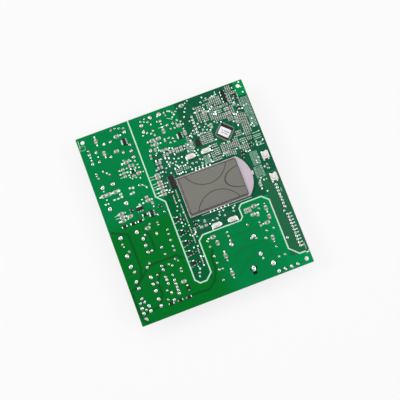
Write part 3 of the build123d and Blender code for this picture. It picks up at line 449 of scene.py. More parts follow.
# %% Board coat
hatched_boxes = (
    ((58.8, 78.7), (100.0, 92.0)), ((58.8, 92.0), (94.2, 100.0)), ((36.7, 58.1), (100.0, 78.7)),
    ((45.1, 31.9), (72.1, 58.1)), ((72.1, 39.6), (100.0, 58.1)), ((89.5, 6.3), (100.0, 39.6)),
)
hatch_pitch = 1.1 * MM
hatch_share = 0.4
coat_specular = 0.02
weave_depth = 0.03 * MM
skin = 0.02 * MM
patch_strength = 0.4
strip_strength = 0.45

tree, shader = new_material("board")
towards_blue = greatest(tree, ramp(tree, 0, 44.1, 60.3), ramp(tree, 1, 44.7, 55.3))
solid_green = mix_colour(tree, towards_blue, (0, 115, 36), (0, 132, 72))
solid_green = mix_colour(tree, ramp(tree, 0, 72.1, 101.6), solid_green, (0, 150, 84))
patchy = sum_of(tree, "MULTIPLY", noise(tree, 45.0), patch_strength)
solid_green = mix_colour(tree, patchy, solid_green, (0, 108, 44))
tongue = inside(tree, (35.3, 10.1), (45.1, 58.1), bottom=-0.5 * MM)
solid_green = mix_colour(tree, tongue, solid_green, (2, 96, 50))
net = diagonal_lines(tree, hatch_pitch, hatch_share)
hatched = mix_colour(tree, net, (4, 72, 44), (30, 104, 72))
hatched = mix_colour(tree, noise(tree, 60.0), hatched, (10, 90, 56))
right_strip = sum_of(tree, "MULTIPLY", inside(tree, (89.7, 0.0), (100.0, 50.0)), strip_strength)
hatched = mix_colour(tree, right_strip, hatched, (54, 116, 78))
middle_z = (parts_face + solder_face) / 2
hatching = greatest(tree, *(inside(tree, low, high, bottom=middle_z) for low, high in hatched_boxes))
green = mix_colour(tree, hatching, solid_green, hatched)
skin_x, skin_y = 100 * skin / board_size.x, 100 * skin / board_size.y
face = inside(tree, (skin_x, skin_y), (100 - skin_x, 100 - skin_y))
laminate = mix_colour(tree, noise(tree, 1400.0), (150, 158, 104), (112, 124, 76))
weave = add(
    tree, "Bump", Strength=0.25, Distance=weave_depth,
    Height=sum_of(tree, "ADD", noise(tree, 900.0), net),
)
feed(
    tree, shader, Base_Color=mix_colour(tree, face, laminate, green), Normal=weave.outputs[0],
    Roughness=drifting(tree, 300.0, 0.28, 0.5), Specular_IOR_Level=coat_specular,
)
coat_nodes("board", "circuit_board")
coat_nodes("print_ink", "isolation_line")
print("hatched boxes", len(hatched_boxes))

# %% [markdown]
# ## Reading the separate pieces of a node
# A node such as all the solder joints is many separate solids. Their places and sizes are read from a
# merged copy of the mesh, so every detailed copy made later stands exactly where the frame has it.

# %% Separate solids
hair = 0.001 * MM


class Solid:
    """One solid of a node: its middle, its size along, across and up, and how it's turned."""

    def __init__(self, corners, edges):
        longest = max(edges, key=lambda edge: edge.length)
        self.turn = math.atan2(longest.y, longest.x) % math.pi
        self.along = Vector((math.cos(self.turn), math.sin(self.turn), 0.0))
        self.across = Vector((-self.along.y, self.along.x, 0.0))
        spans = [(min(c @ axis for c in corners), max(c @ axis for c in corners))
                 for axis in (self.along, self.across, Vector((0, 0, 1)))]
        self.length, self.width, self.height = (high - low for low, high in spans)
        self.low = spans[2][0]
        middle = self.along * sum(spans[0]) / 2 + self.across * sum(spans[1]) / 2
        self.middle = Vector((middle.x, middle.y, self.low))


flat_angle = math.radians(2)


def merged_copy(node):
    """A copy of a node's mesh with its loose triangles joined and its flat faces made whole."""
    mesh = bmesh.new()
    mesh.from_mesh(nodes[node].data)
    bmesh.ops.remove_doubles(mesh, verts=mesh.verts, dist=hair)
    bmesh.ops.dissolve_limit(mesh, angle_limit=flat_angle, verts=mesh.verts, edges=mesh.edges)
    return mesh


def solids_of(node):
    """The separate solids of a node."""
    mesh = merged_copy(node)
    left, found = set(mesh.verts), []
    while left:
        reached = [left.pop()]
        for corner in reached:
            for edge in corner.link_edges:
                other = edge.other_vert(corner)
                if other in left:
                    left.remove(other)
                    reached.append(other)
        edges = {edge for corner in reached for edge in corner.link_edges}
        sides = [edge.verts[1].co - edge.verts[0].co for edge in edges]
        level = [side for side in sides if abs(side.z) < hair]
        found.append(Solid([corner.co.copy() for corner in reached], level))
    mesh.free()
    return sorted(found, key=lambda solid: (round(solid.middle.x / MM, 2), round(solid.middle.y / MM, 2)))


joints = solids_of("solder_joints")
capacitors, resistors = solids_of("chip_capacitors"), solids_of("chip_resistors")
chips = capacitors + resistors
print("solder joints", len(joints), "chips", len(chips))

# %% [markdown]
# ## Copies by Geometry Nodes
# One tree makes everything that repeats. It takes a point for each copy, with the copy's turn and size
# kept on the point, puts one small shape on all of them, makes them real and gives them a finish.

# %% Copies tree


def copies_tree():
    """Geometry Nodes: a shape on every point, turned and sized by the point's own values."""
    tree = bpy.data.node_groups.new("copies", "GeometryNodeTree")
    for side, name, kind in (
        ("INPUT", "Geometry", "Geometry"), ("INPUT", "Shape", "Object"), ("INPUT", "Finish", "Material"),
        ("OUTPUT", "Geometry", "Geometry"),
    ):
        tree.interface.new_socket(name, in_out=side, socket_type="NodeSocket" + kind)
    start, shape, turn, size, euler, instances, real, finished, end = (tree.nodes.new(kind) for kind in (
        "NodeGroupInput", "GeometryNodeObjectInfo", "GeometryNodeInputNamedAttribute",
        "GeometryNodeInputNamedAttribute", "FunctionNodeEulerToRotation", "GeometryNodeInstanceOnPoints",
        "GeometryNodeRealizeInstances", "GeometryNodeSetMaterial", "NodeGroupOutput",
    ))
    for node, name in ((turn, "turn"), (size, "size")):
        node.data_type = "FLOAT_VECTOR"
        node.inputs["Name"].default_value = name
    for one, output, other, into in (
        (start, "Geometry", instances, "Points"),
        (start, "Shape", shape, "Object"),
        (shape, "Geometry", instances, "Instance"),
        (turn, "Attribute", euler, "Euler"),
        (euler, "Rotation", instances, "Rotation"),
        (size, "Attribute", instances, "Scale"),
        (instances, "Instances", real, "Geometry"),
        (real, "Geometry", finished, "Geometry"),
        (start, "Finish", finished, "Material"),
        (finished, "Geometry", end, "Geometry"),
    ):
        tree.links.new(one.outputs[output], other.inputs[into])
    return tree


COPIES = copies_tree()


def piece(name, mesh, finish_name, body="board", replaces=(), sharp=35):
    """A finished mesh as a piece of the object, on one body."""
    made = placed(name, mesh)
    mesh.shade_smooth()
    mesh.set_sharp_from_angle(angle=math.radians(sharp))
    if not mesh.materials:
        mesh.materials.append(FINISHES[finish_name])
    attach(made, body)
    if replaces:
        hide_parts(*replaces)


def copies(name, shape, spots, finish_name, replaces=()):
    """One piece made of a shape repeated at spots, each a place, a turn and a size."""
    points = plain_mesh(name + "_points", [tuple(place) for place, _, _ in spots])
    for kept, vectors in (
        ("turn", [(0.0, 0.0, turn) for _, turn, _ in spots]),
        ("size", [size for _, _, size in spots]),
    ):
        attribute = points.attributes.new(kept, "FLOAT_VECTOR", "POINT")
        attribute.data.foreach_set("vector", [value for vector in vectors for value in vector])
    carrier, master = placed(name + "_points", points), placed(name + "_shape", shape)
    modifier = carrier.modifiers.new("copies", "NODES")
    modifier.node_group = COPIES
    identifiers = {s.name: s.identifier for s in COPIES.interface.items_tree if s.in_out == "INPUT"}
    modifier[identifiers["Shape"]] = master
    modifier[identifiers["Finish"]] = FINISHES[finish_name]
    evaluated = carrier.evaluated_get(bpy.context.evaluated_depsgraph_get())
    mesh = bpy.data.meshes.new_from_object(evaluated)
    for item in (carrier, master):
        bpy.data.objects.remove(item)
    for kept in ("turn", "size"):
        if kept in mesh.attributes:
            mesh.attributes.remove(mesh.attributes[kept])
    piece(name, mesh, finish_name, replaces=replaces)
    print(name, len(spots), "copies,", sum(len(p.vertices) - 2 for p in mesh.polygons), "triangles")


# %% [markdown]
# ## Solder joints
# A joint is a small cone of solder drawn up the wire, hollow at its foot, with the cut wire end on top.
# It is a profile turned about an upright axis. Its foot is a bright ring of copper land, and outside
# that a dark ring is painted shade round the joint's foot.

# %% Solder joints


def mesh_of(name, corners, faces):
    """A mesh from its corners and faces, with its faces turned outwards."""
    data = plain_mesh(name, corners, faces)
    shell = bmesh.new()
    shell.from_mesh(data)
    bmesh.ops.recalc_face_normals(shell, faces=shell.faces)
    shell.to_mesh(data)
    shell.free()
    return data


def turned_shape(name, profile, segments, lean=(0.0, 0.0)):
    """A profile of radius and height turned about an upright axis and closed, leaning as it rises."""
    angles = [math.tau * step / segments for step in range(segments)]
    corners = [
        (radius * math.cos(a) + lean[0] * z, radius * math.sin(a) + lean[1] * z, z)
        for radius, z in profile
        for a in angles
    ]
    rows = [range(row * segments, (row + 1) * segments) for row in range(len(profile))]
    faces = [
        (lower[i], lower[(i + 1) % segments], upper[(i + 1) % segments], upper[i])
        for lower, upper in zip(rows, rows[1:])
        for i in range(segments)
    ]
    return mesh_of(name, corners, [*faces, rows[0][::-1], rows[-1]])


joint_profile = ((0.5, 0.0), (0.49, 0.05), (0.34, 0.13), (0.23, 0.4), (0.16, 0.9), (0.09, 1.0))
ring_profile = ((0.64, 0.0), (0.62, 0.02), (0.4, 0.02))
ring_height = 1.5 * MM
joint_segments = 12
chance = random.Random(7)
joint_spots = [
    (
        joint.middle, chance.uniform(0, math.tau),
        (joint.length * chance.uniform(0.9, 1.0), joint.width * chance.uniform(0.86, 1.0), joint.height),
    )
    for joint in joints
]
joint_shape = turned_shape("joint", joint_profile, joint_segments, lean=(0.06, 0.02))
copies("solder_fillets", joint_shape, joint_spots, "solder", replaces=("solder_joints",))
# The dark ring is painted shade round each joint's foot.
ring_spots = [(joint.middle, 0.0, (joint.length, joint.width, ring_height)) for joint in joints]
ring_shape = turned_shape("ring", ring_profile, joint_segments)
copies("coat_gaps", ring_shape, ring_spots, "coat_gap")
coat_nodes("tinned_wire", "component_leads")

# %% [markdown]
# ## Chip parts
# A chip resistor or capacitor is a small block of ceramic with a metal cap on each end, and solder runs
# up the caps from the lands. Body, caps and solder are three shapes of unit size, so the size kept on
# each point stretches them to the real chip. A dark frame of painted shade lies round each land.

# %% Chip parts


def blocks(name, boxes):
    """Separate blocks in one mesh, each given by its low and high corners."""
    corners, faces = [], []
    for (x1, y1, z1), (x2, y2, z2) in boxes:
        first = len(corners)
        corners += [(x, y, z) for z in (z1, z2) for x, y in ((x1, y1), (x2, y1), (x2, y2), (x1, y2))]
        faces += [
            [first + i for i in face]
            for face in ((3, 2, 1, 0), (4, 5, 6, 7), (0, 1, 5, 4), (1, 2, 6, 5), (2, 3, 7, 6), (3, 0, 4, 7))
        ]
    return mesh_of(name, corners, faces)


def extruded(name, outlines, half, end_faces=None):
    """Outlines of length and height made solid, with each end one face or cut into the given ones."""
    corners, faces = [], []
    for line in outlines:
        first, count = len(corners), len(line)
        corners += [(x, y, z) for y in (-half, half) for x, z in line]
        for start in (first, first + count):
            faces += [[start + i for i in face] for face in end_faces or [range(count)]]
        for one, other in zip(range(count), [*range(1, count), 0]):
            faces.append((first + one, first + other, first + count + other, first + count + one))
    return mesh_of(name, corners, faces)


def wedges(name, reach, height, half):
    """Solder that slopes up both ends of a chip of unit size."""
    slope = ((0.36, 0.0), (0.5 + reach, 0.0), (0.5 + reach, 0.03), (0.5 + 0.35 * reach, 0.25 * height),
             (0.5, height), (0.36, height))
    return extruded(name, [[(side * x, z) for x, z in slope] for side in (-1, 1)], half)


def chip_spots(found, grow=1.0):
    """A spot for each chip, at its own place, turn and size."""
    return [
        (chip.middle, chip.turn, (chip.length * grow, chip.width * grow, chip.height)) for chip in found
    ]


body_shape = blocks("chip_body", [((-0.34, -0.47, 0.02), (0.34, 0.47, 0.96))])
caps = [((-0.5, -0.5, 0.0), (-0.3, 0.5, 1.0)), ((0.3, -0.5, 0.0), (0.5, 0.5, 1.0))]
# Dark frames of painted shade round the chip lands.
gaps = [((-0.78, -0.66, 0.0), (-0.14, 0.66, 0.03)), ((0.14, -0.66, 0.0), (0.78, 0.66, 0.03))]
land_shade_shape = blocks("chip_land_shade", gaps)
copies("capacitor_bodies", body_shape, chip_spots(capacitors), "tan_ceramic", replaces=("chip_capacitors",))
copies("resistor_bodies", body_shape, chip_spots(resistors), "dark_ceramic", replaces=("chip_resistors",))
copies("chip_caps", blocks("chip_caps", caps), chip_spots(chips), "chip_tin")
copies("chip_solder", wedges("chip_solder", 0.17, 0.7, 0.48), chip_spots(chips), "chip_tin")
copies("chip_gaps", land_shade_shape, chip_spots(chips), "coat_gap")

# %% [markdown]
# ## Bevelled copies
# A moulded or pressed part never has a sharp edge, and a thin bright line along each edge is what makes
# it look real. A merged copy of a node with its edges bevelled keeps the frame's shape and catches it.

# %% Bevelled copies
sharp_angle = 0.6
roundness = 0.6


def bevelled(node, name, finish_name, width, segments=2, body="board"):
    """A copy of a node with rounded edges, their width in millimetres, which stands for the node."""
    shell = merged_copy(node)
    paired = [edge for edge in shell.edges if len(edge.link_faces) == 2]
    sharp = [edge for edge in paired if edge.calc_face_angle(0) > sharp_angle]
    bmesh.ops.bevel(
        shell, geom=sharp, offset=width * MM, segments=segments, affect="EDGES", profile=roundness,
        clamp_overlap=True,
    )
    bmesh.ops.recalc_face_normals(shell, faces=shell.faces)
    data = bpy.data.meshes.new(name)
    shell.to_mesh(data)
    shell.free()
    piece(name, data, finish_name, body=body, replaces=(node,), sharp=50)
    print(name, len(data.polygons), "faces")


for node, name, width in (
    ("microcontroller", "controller_body", 0.12),
    ("driver_chip", "driver_body", 0.15),
    ("memory_chip", "memory_body", 0.15),
    ("surface_diodes", "diode_bodies", 0.12),
    ("surface_transistors", "transistor_bodies", 0.1),
    ("power_transistors", "power_bodies", 0.15),
):
    bevelled(node, name, "black_epoxy", width)

# %% [markdown]
# ## Legs of the chips
# Each flat leg leaves the middle of its chip's side, drops to the board and ends in a small foot in
# solder. The frame has only the feet, so one leg of unit length is put on every foot, pointing away
# from its own chip. Diodes and transistors have short tabs, which are shapes of unit size as well.

# %% Chip legs


def outward(foot, bodies):
    """The turn of a foot that points away from the nearest chip."""
    nearest = min(bodies, key=lambda body: (body.middle - foot.middle).length)
    away = foot.middle - nearest.middle
    return foot.turn if away @ foot.along > 0 else foot.turn + math.pi


leg_line = [(-0.55, 1.0), (-0.2, 1.0), (-0.02, 0.7), (0.06, 0.0), (0.5, 0.0)]
leg_thick = 0.24
leg_rise = 0.62 * MM
leg_outline = leg_line + [(x, z + leg_thick) for x, z in leg_line[::-1]]
last = len(leg_outline) - 1
leg_ends = [(i, i + 1, last - 1 - i, last - i) for i in range(len(leg_line) - 1)]
controller = solids_of("microcontroller")[0]
chip_bodies = [controller] + solids_of("driver_chip") + solids_of("memory_chip")
feet = solids_of("microcontroller_leads") + solids_of("small_outline_leads")
leg_spots = [
    (foot.middle, outward(foot, chip_bodies), (foot.length, foot.width, leg_rise)) for foot in feet
]
copies(
    "chip_legs", extruded("leg", [leg_outline], 0.5, leg_ends), leg_spots, "dull_tin",
    replaces=("microcontroller_leads", "small_outline_leads"),
)
foot_shape = blocks("foot_land", [((0.0, -0.62, 0.0), (0.66, 0.62, 0.09))])
copies("leg_lands", foot_shape, leg_spots, "dull_tin")

diodes = solids_of("surface_diodes")
transistors = chip_spots(solids_of("surface_transistors"))
powers = chip_spots(solids_of("power_transistors"))
copies("diode_tabs", wedges("diode_tab", 0.3, 0.45, 0.4), chip_spots(diodes), "solder")
# Painted shade round the diode lands.
copies("diode_gaps", land_shade_shape, chip_spots(diodes, 1.1), "coat_gap")
for name, boxes, spots, finish_name in (
    ("transistor_legs", [((-0.46, 0.45, 0.0), (-0.26, 0.95, 0.3)), ((0.26, 0.45, 0.0), (0.46, 0.95, 0.3)),
                         ((-0.12, -0.95, 0.0), (0.12, -0.45, 0.3))], transistors, "chip_tin"),
    # Dark boxes of painted shade round the transistor legs.
    ("transistor_gaps", [((-0.54, 0.4, 0.0), (-0.18, 1.1, 0.03)), ((0.18, 0.4, 0.0), (0.54, 1.1, 0.03)),
                         ((-0.2, -1.1, 0.0), (0.2, -0.4, 0.03))], transistors, "coat_gap"),
    ("power_legs", [*(((x - 0.08, -0.85, 0.0), (x + 0.08, -0.45, 0.2)) for x in (-0.34, 0.0, 0.34)),
                    ((-0.38, 0.45, 0.0), (0.38, 0.92, 0.25))], powers, "chip_tin"),
):
    copies(name, blocks(name, boxes), spots, finish_name)

# %% [markdown]
# ## The slot beside the spade
# A black block under the board, below the slot next to the spade's joint, is painted shade that
# shows through the slot.

# %% Slot
slot_x, slot_y = at(67.6, 4.9)
rubber = blocks("rubber", [(
    (slot_x - 2.2 * MM, slot_y - 2.0 * MM, parts_face - 1.2 * MM),
    (slot_x + 2.2 * MM, slot_y + 2.0 * MM, parts_face - 0.05 * MM),
)])
piece("spade_rubber", rubber, "dark_rubber")
print("slot at", round(slot_x / MM, 1), round(slot_y / MM, 1))

# %% [markdown]
# ## The label
# A paper label covers most of the large chip. It carries plain grey bars in place of words, thin
# enough to be ink on paper.

# %% Label
bevelled("chip_label", "label_sticker", "label_paper", 0.02, 1)
sticker = solids_of("chip_label")[0]
sticker_top = sticker.middle + Vector((0, 0, sticker.height))
ink_height = 0.01 * MM
# Each bar's place, length and width, as shares of the label's own length and width.
label_bars = [
    (
        sticker_top + sticker.along * x * sticker.length + sticker.across * y * sticker.width,
        sticker.turn, (length * sticker.length, width * sticker.width, ink_height),
    )
    for x, y, length, width in (
        (-0.16, -0.13, 0.5, 0.1), (0.24, -0.13, 0.16, 0.1),
        (-0.2, 0.12, 0.34, 0.1), (0.14, 0.12, 0.22, 0.1),
    )
]
bar_shape = blocks("bar", [((-0.5, -0.5, 0.0), (0.5, 0.5, 1.0))])
copies("label_bars", bar_shape, label_bars, "grey_ink")

# %% [markdown]
# ## Keys
# The six push keys are white mouldings with a bright metal leg at each end. Each cap rides on its own
# body, so that it sinks when it is pressed.

# %% Keys
for number in range(1, 7):
    bevelled(f"key_cap_{number}", f"key_top_{number}", "key_plastic", 0.25, 3, body=f"key_{number}")
bevelled("long_key_bases", "long_key_frames", "key_plastic", 0.2)
bevelled("square_key_bases", "square_key_frames", "key_plastic", 0.2)
coat_nodes("solder", "key_leads", "display_pins")

# %% [markdown]
# ## The display
# The display is two sheets of glass with liquid between them, on a block of milky plastic that spreads
# the light of one lamp at its round end. The front film is grey, and the curves on it are printed, so
# they are rings worked out in its finish from the distance to a few centres.

# %% Display
RING, given, ring_out = group_of(
    "printed_ring", {"Centre": "Vector", "Stretch": "Vector", "Radius": "Float", "Line": "Float"},
    {"Value": "Float"},
)
offset = add(RING, "VectorMath", coordinates(RING), given["Centre"], operation="SUBTRACT").outputs[0]
stretched = add(RING, "VectorMath", offset, given["Stretch"], operation="MULTIPLY").outputs[0]
distance = add(RING, "VectorMath", stretched, operation="LENGTH").outputs["Value"]
away = sum_of(RING, "ABSOLUTE", sum_of(RING, "SUBTRACT", distance, given["Radius"]))
feed(RING, ring_out, sum_of(RING, "LESS_THAN", away, given["Line"]))

glass_low, glass_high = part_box("front_polariser")
film_width, film_height = (glass_high - glass_low).xy
ring_line = 0.3 * MM
# Each ring is its centre as shares of the film, its radius and how much wider than tall it is.
rings = ((0.471, 1.25, 0.393, 1.0), (0.491, -0.257, 0.397, 1.0), (1.045, 0.515, 0.185, 1.771))
tree, shader = new_material("polariser")
ink = greatest(tree, *(
    add(
        tree, "Group", (glass_low.x + x * film_width, glass_low.y + y * film_height, 0.0),
        (1 / stretch, 1.0, 0.0), radius * film_width, ring_line, node_tree=RING,
    ).outputs[0]
    for x, y, radius, stretch in rings
))
grey = mix_colour(tree, noise(tree, 30.0), (122, 121, 113), (112, 111, 104))
feed(
    tree, shader, Base_Color=mix_colour(tree, ink, grey, (60, 56, 52)), Specular_IOR_Level=0.2,
    Roughness=drifting(tree, 500.0, 0.16, 0.3),
)
coat_nodes("polariser", "front_polariser")

guide_low, guide_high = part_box("light_guide")
pane_low, pane_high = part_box("rear_glass")
border_rise = 0.02 * MM
border_edge = 0.45 * MM
pane_gap = 0.1 * MM
left, bottom = guide_low.x + border_edge, guide_low.y + border_edge
right, top = glass_high.x, guide_high.y - border_edge
pane_bottom, pane_top = pane_low.y - pane_gap, pane_high.y + pane_gap
grey_border = blocks("border", [
    ((x1, y1, guide_high.z), (x2, y2, guide_high.z + border_rise))
    for x1, y1, x2, y2 in (
        (left, bottom, right, pane_bottom), (left, pane_top, right, top),
        (left, pane_bottom, pane_low.x - pane_gap, pane_top),
    )
])
piece("display_border", grey_border, "border_film")
bevelled("light_guide", "light_spreader", "light_guide", 0.15)
bevelled("front_glass", "front_pane", "display_glass", 0.08)
bevelled("rear_glass", "rear_pane", "display_glass", 0.08)

# %% [markdown]
# ## Printed legend
# The maker prints thin pale lines beside the parts, so that each can be found. They are flat bars, one
# copy each, laid on the green coat.

# %% Legend
legend_height = 0.02 * MM
tick = 0.36 * MM
box_line = 0.2 * MM


def flat(x, y, length, width, height=legend_height, turn=0.0):
    """A spot for a flat bar or land on the solder side."""
    return ((x, y, solder_face), turn, (length, width, height))


def bar(x1, y1, x2, y2):
    """A spot for a bar between two corners on the board."""
    (x1, y1), (x2, y2) = at(x1, y1), at(x2, y2)
    return flat((x1 + x2) / 2, (y1 + y2) / 2, abs(x2 - x1), abs(y2 - y1))


def slanted(x1, y1, x2, y2):
    """A spot for a tick from one place to another."""
    one, other = Vector((*at(x1, y1), solder_face)), Vector((*at(x2, y2), solder_face))
    run = other - one
    return ((one + other) / 2, math.atan2(run.y, run.x), (run.length, tick, legend_height))


def outline(x1, y1, x2, y2):
    """Spots for the four bars round a box."""
    (x1, y1), (x2, y2) = at(x1, y1), at(x2, y2)
    return [flat((x1 + x2) / 2, y, x2 - x1 + box_line, box_line) for y in (y1, y2)] + [
        flat(x, (y1 + y2) / 2, box_line, y2 - y1 + box_line) for x in (x1, x2)
    ]


# Rows of short ticks: where they start and end in per cent along X, then each one's height.
tick_rows = (
    (31.6, 34.1, (68.1, 66.7, 64.2, 62.7, 61.3, 59.3, 57.8)),
    (16.4, 18.7, (76.9, 74.9, 73.1)),
    (6.1, 8.0, (55.7, 54.4)),
    (94.2, 98.7, (71.3, 70.0, 69.2, 68.1, 66.0, 64.5)),
    (35.8, 37.0, (45.2, 42.0, 38.3, 34.9, 32.4, 29.3, 27.1, 24.1, 21.8, 18.7)),
)
legend = [slanted(x1, y, x2, y) for x1, x2, heights in tick_rows for y in heights]
legend += [slanted(*ends) for ends in (
    (52.4, 94.2, 55.2, 92.7), (26.4, 66.5, 28.8, 64.0), (98.6, 10.7, 98.6, 7.3),
    (97.9, 40.3, 97.9, 38.3), (20.8, 51.7, 20.8, 49.2), (46.1, 90.7, 49.8, 90.7),
    (78.8, 96.1, 82.4, 96.1), (77.7, 88.9, 81.3, 88.9), (1.0, 94.7, 1.0, 98.7),
    (51.5, 41.0, 81.0, 41.0), (40.4, 46.0, 40.4, 44.3), (87.6, 63.3, 87.6, 65.1),
)]
print("ticks", len(legend))

# %% [markdown]
# Each chip has a printed bar along both its long sides, and larger parts have a whole outline. A chip's
# bars come from its own place and turn, so they always frame it. Where the coat is worn, pale fields
# show, and a frame of lands stands round the turned chip, whose corners draw off spare solder.

# %% Legend of the chips
side_bars = blocks("side_bars", [((-0.5, y - 0.5, 0.0), (0.5, y + 0.5, 1.0)) for y in (-4.2, 4.2)])
long_chip = 1.9 * MM
bar_share = 0.17
chip_legend = [
    (chip.middle, chip.turn, (chip.length, bar_share * chip.width, legend_height))
    for chip in chips
    if chip.length > long_chip
]
copies("chip_legend", side_bars, chip_legend, "print_ink")
for box in (
    (0.6, 93.3, 3.7, 95.5), (88.8, 55.5, 92.8, 62.3), (87.9, 48.8, 92.6, 54.5),
    (95.4, 80.5, 99.3, 90.8), (96.0, 74.5, 99.1, 79.9), (64.0, 64.8, 67.3, 68.9),
    (56.8, 73.2, 60.2, 78.4),
):
    legend += outline(*box)
copies("legend", bar_shape, legend, "print_ink")
pale_fields = [bar(*box) for box in (
    (90.1, 56.0, 91.7, 61.9), (89.2, 49.5, 91.3, 54.0), (96.8, 81.1, 97.9, 90.4),
    (97.2, 74.9, 97.9, 79.5), (65.2, 65.2, 66.1, 68.5), (58.0, 73.6, 58.9, 78.1),
    (18.8, 66.1, 21.8, 67.0), (18.1, 63.3, 20.9, 64.4), (8.4, 63.5, 14.0, 64.2),
)]
copies("pale_fields", bar_shape, pale_fields, "worn_coat")
frame_reach = 5.45 * MM
frame_width = 0.65 * MM
frame_lands = []
for quarter in range(4):
    turn = controller.turn + math.radians(90 * quarter)
    away = Vector((math.cos(turn), math.sin(turn), 0.0)) * frame_reach
    place = Vector((controller.middle.x, controller.middle.y, solder_face)) + away
    frame_lands.append((place, turn, (frame_width, 2 * frame_reach + frame_width, legend_height)))
copies("frame_lands", bar_shape, frame_lands, "dull_tin")

# %% [markdown]
# ## Lands with nothing on them
# A board made for several boilers has places that stay empty: rows of bright lands with no chip. Small
# through-holes, each a ring of tin round a dark disc of painted shade in place of the bore, carry the
# copper from face to face.

# %% Empty lands and small holes
land_height = 0.05 * MM
row_land = (0.9 * MM, 0.42 * MM)
plug_land = (1.5 * MM, 0.8 * MM)
plug_reach = 2.1 * MM
lands = []
# Pairs of rows: the low and high corners of the box between them, and the number of lands in a row.
for low_x, low_y, high_x, high_y, count in (
    (89.5, 56.1, 92.2, 61.7, 8), (88.6, 49.5, 91.9, 54.0, 7), (96.2, 81.3, 98.5, 90.1, 12),
    (96.8, 75.2, 98.4, 79.2, 6), (64.7, 65.3, 66.5, 68.4, 5), (57.5, 73.9, 59.4, 77.9, 6),
):
    (x1, y1), (x2, y2) = at(low_x, low_y), at(high_x, high_y)
    step = (y2 - y1) / (count - 1)
    lands += [flat(x, y1 + step * i, *row_land, land_height) for x in (x1, x2) for i in range(count)]
# Single lands: each one's place in per cent, then its length and width in millimetres.
lands += [flat(*at(x, y), length * MM, width * MM, land_height) for x, y, length, width in (
    (19.3, 66.8, 1.3, 1.3), (21.2, 66.4, 1.4, 1.6), (18.9, 63.9, 1.7, 1.4), (20.6, 64.1, 1.3, 1.4),
    (9.1, 63.9, 1.9, 1.1), (11.4, 63.8, 1.5, 1.1), (13.6, 64.1, 1.6, 1.7), (13.9, 65.6, 1.0, 1.6),
    (80.2, 71.5, 2.4, 1.0), (21.5, 76.9, 1.3, 0.9), (21.5, 73.1, 1.3, 0.9), (24.3, 80.6, 0.9, 1.3),
    (21.3, 81.3, 1.2, 0.8), (27.3, 79.1, 0.9, 1.4), (27.9, 76.9, 1.3, 0.9), (28.2, 75.2, 1.3, 0.9),
    (26.3, 75.7, 0.9, 1.2), (22.6, 70.9, 0.9, 0.9), (26.9, 69.9, 0.8, 1.3), (19.8, 79.3, 1.2, 0.8),
    (24.8, 70.8, 1.2, 0.8), (26.5, 66.2, 1.2, 1.0), (28.3, 64.3, 1.1, 1.4), (76.5, 66.7, 4.5, 1.0),
    (40.1, 16.7, 1.2, 1.8), (39.2, 14.9, 1.8, 1.0), (38.6, 13.3, 1.0, 1.6), (98.7, 6.0, 2.0, 2.0),
    (75.0, 20.9, 1.4, 1.0), (3.5, 67.5, 1.2, 2.6), (5.2, 67.5, 0.8, 1.8), (8.3, 67.5, 1.0, 2.2),
    (9.9, 67.5, 0.8, 1.8), (13.1, 67.5, 1.4, 2.2),
)]
plug_low, plug_high = at(95.2, 28.7)
lands += [
    flat(joint.middle.x + plug_reach, joint.middle.y, *plug_land, land_height)
    for joint in joints
    if joint.middle.x > plug_low and joint.middle.y < plug_high
]
copies("empty_lands", bar_shape, lands, "chip_tin")
small_holes = [(*at(*place), solder_face) for place in (
    (4.6, 88.4), (4.6, 86.9), (8.8, 87.5), (4.4, 78.4), (10.2, 78.1), (5.2, 69.8), (5.2, 65.2),
    (13.0, 65.5), (3.7, 63.2), (5.3, 63.1), (23.5, 59.2), (21.3, 57.3), (23.5, 57.3), (5.2, 40.0),
    (27.1, 44.5), (55.2, 97.1), (69.2, 81.9), (70.6, 83.1), (72.0, 84.4), (71.3, 92.0), (72.6, 91.5),
    (54.3, 68.6), (44.4, 70.2), (42.3, 69.9), (39.7, 68.7), (38.6, 66.7), (38.5, 61.3), (40.5, 49.7),
    (40.7, 51.5), (42.6, 45.8), (44.8, 32.2), (74.9, 20.9), (90.4, 41.1), (55.6, 64.8), (57.7, 64.8),
    (59.7, 64.8), (61.8, 64.8), (63.9, 64.8), (57.3, 63.7), (59.5, 63.7), (61.5, 63.7), (63.8, 63.7),
    (65.8, 63.7),
)]
print("empty lands", len(lands), "small holes so far", len(small_holes))

# %% [markdown]
# Most chips have a small hole or a test land just beyond an end. The low-voltage part is crowded with
# more small holes and with fine tracks. Their exact run doesn't matter, so a seeded draw scatters holes
# where no large part stands, and joins each to a near one by a track that runs straight and then on a
# diagonal, as a board's layout program does.

# %% Scattered holes and tracks
# Each crowded box is its low and high corners in per cent, and how many holes are tried in it.
crowded = (
    (58.8, 64.3, 98.7, 99.3, 150), (36.0, 64.3, 58.8, 78.7, 44), (36.0, 78.7, 58.8, 99.3, 14),
    (39.3, 16.7, 44.5, 63.3, 24), (45.9, 32.7, 71.0, 40.3, 22), (86.9, 42.0, 99.0, 63.3, 12),
)
keep_clear = [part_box(node) for node in (
    "microcontroller_leads", "light_guide", "driver_chip", "memory_chip",
    *(f"key_cap_{number}" for number in range(1, 7)),
)]
margin = 1.2 * MM
room = 1.5 * MM
share_with_land = 0.6
share_with_hole = 0.5


def within(place, low, high, edge):
    """True for a place between two corners, and at least an edge inside them."""
    return all(low[i] + edge < place[i] < high[i] - edge for i in (0, 1))


def is_free(place):
    """True where a small hole would be on the board and touch no large part and no other hole."""
    return (
        within(place, board_low, board_high, margin)
        and not any(within(place, low, high, -margin) for low, high in keep_clear)
        and all((place[0] - x) ** 2 + (place[1] - y) ** 2 > room**2 for x, y, _ in taken)
    )


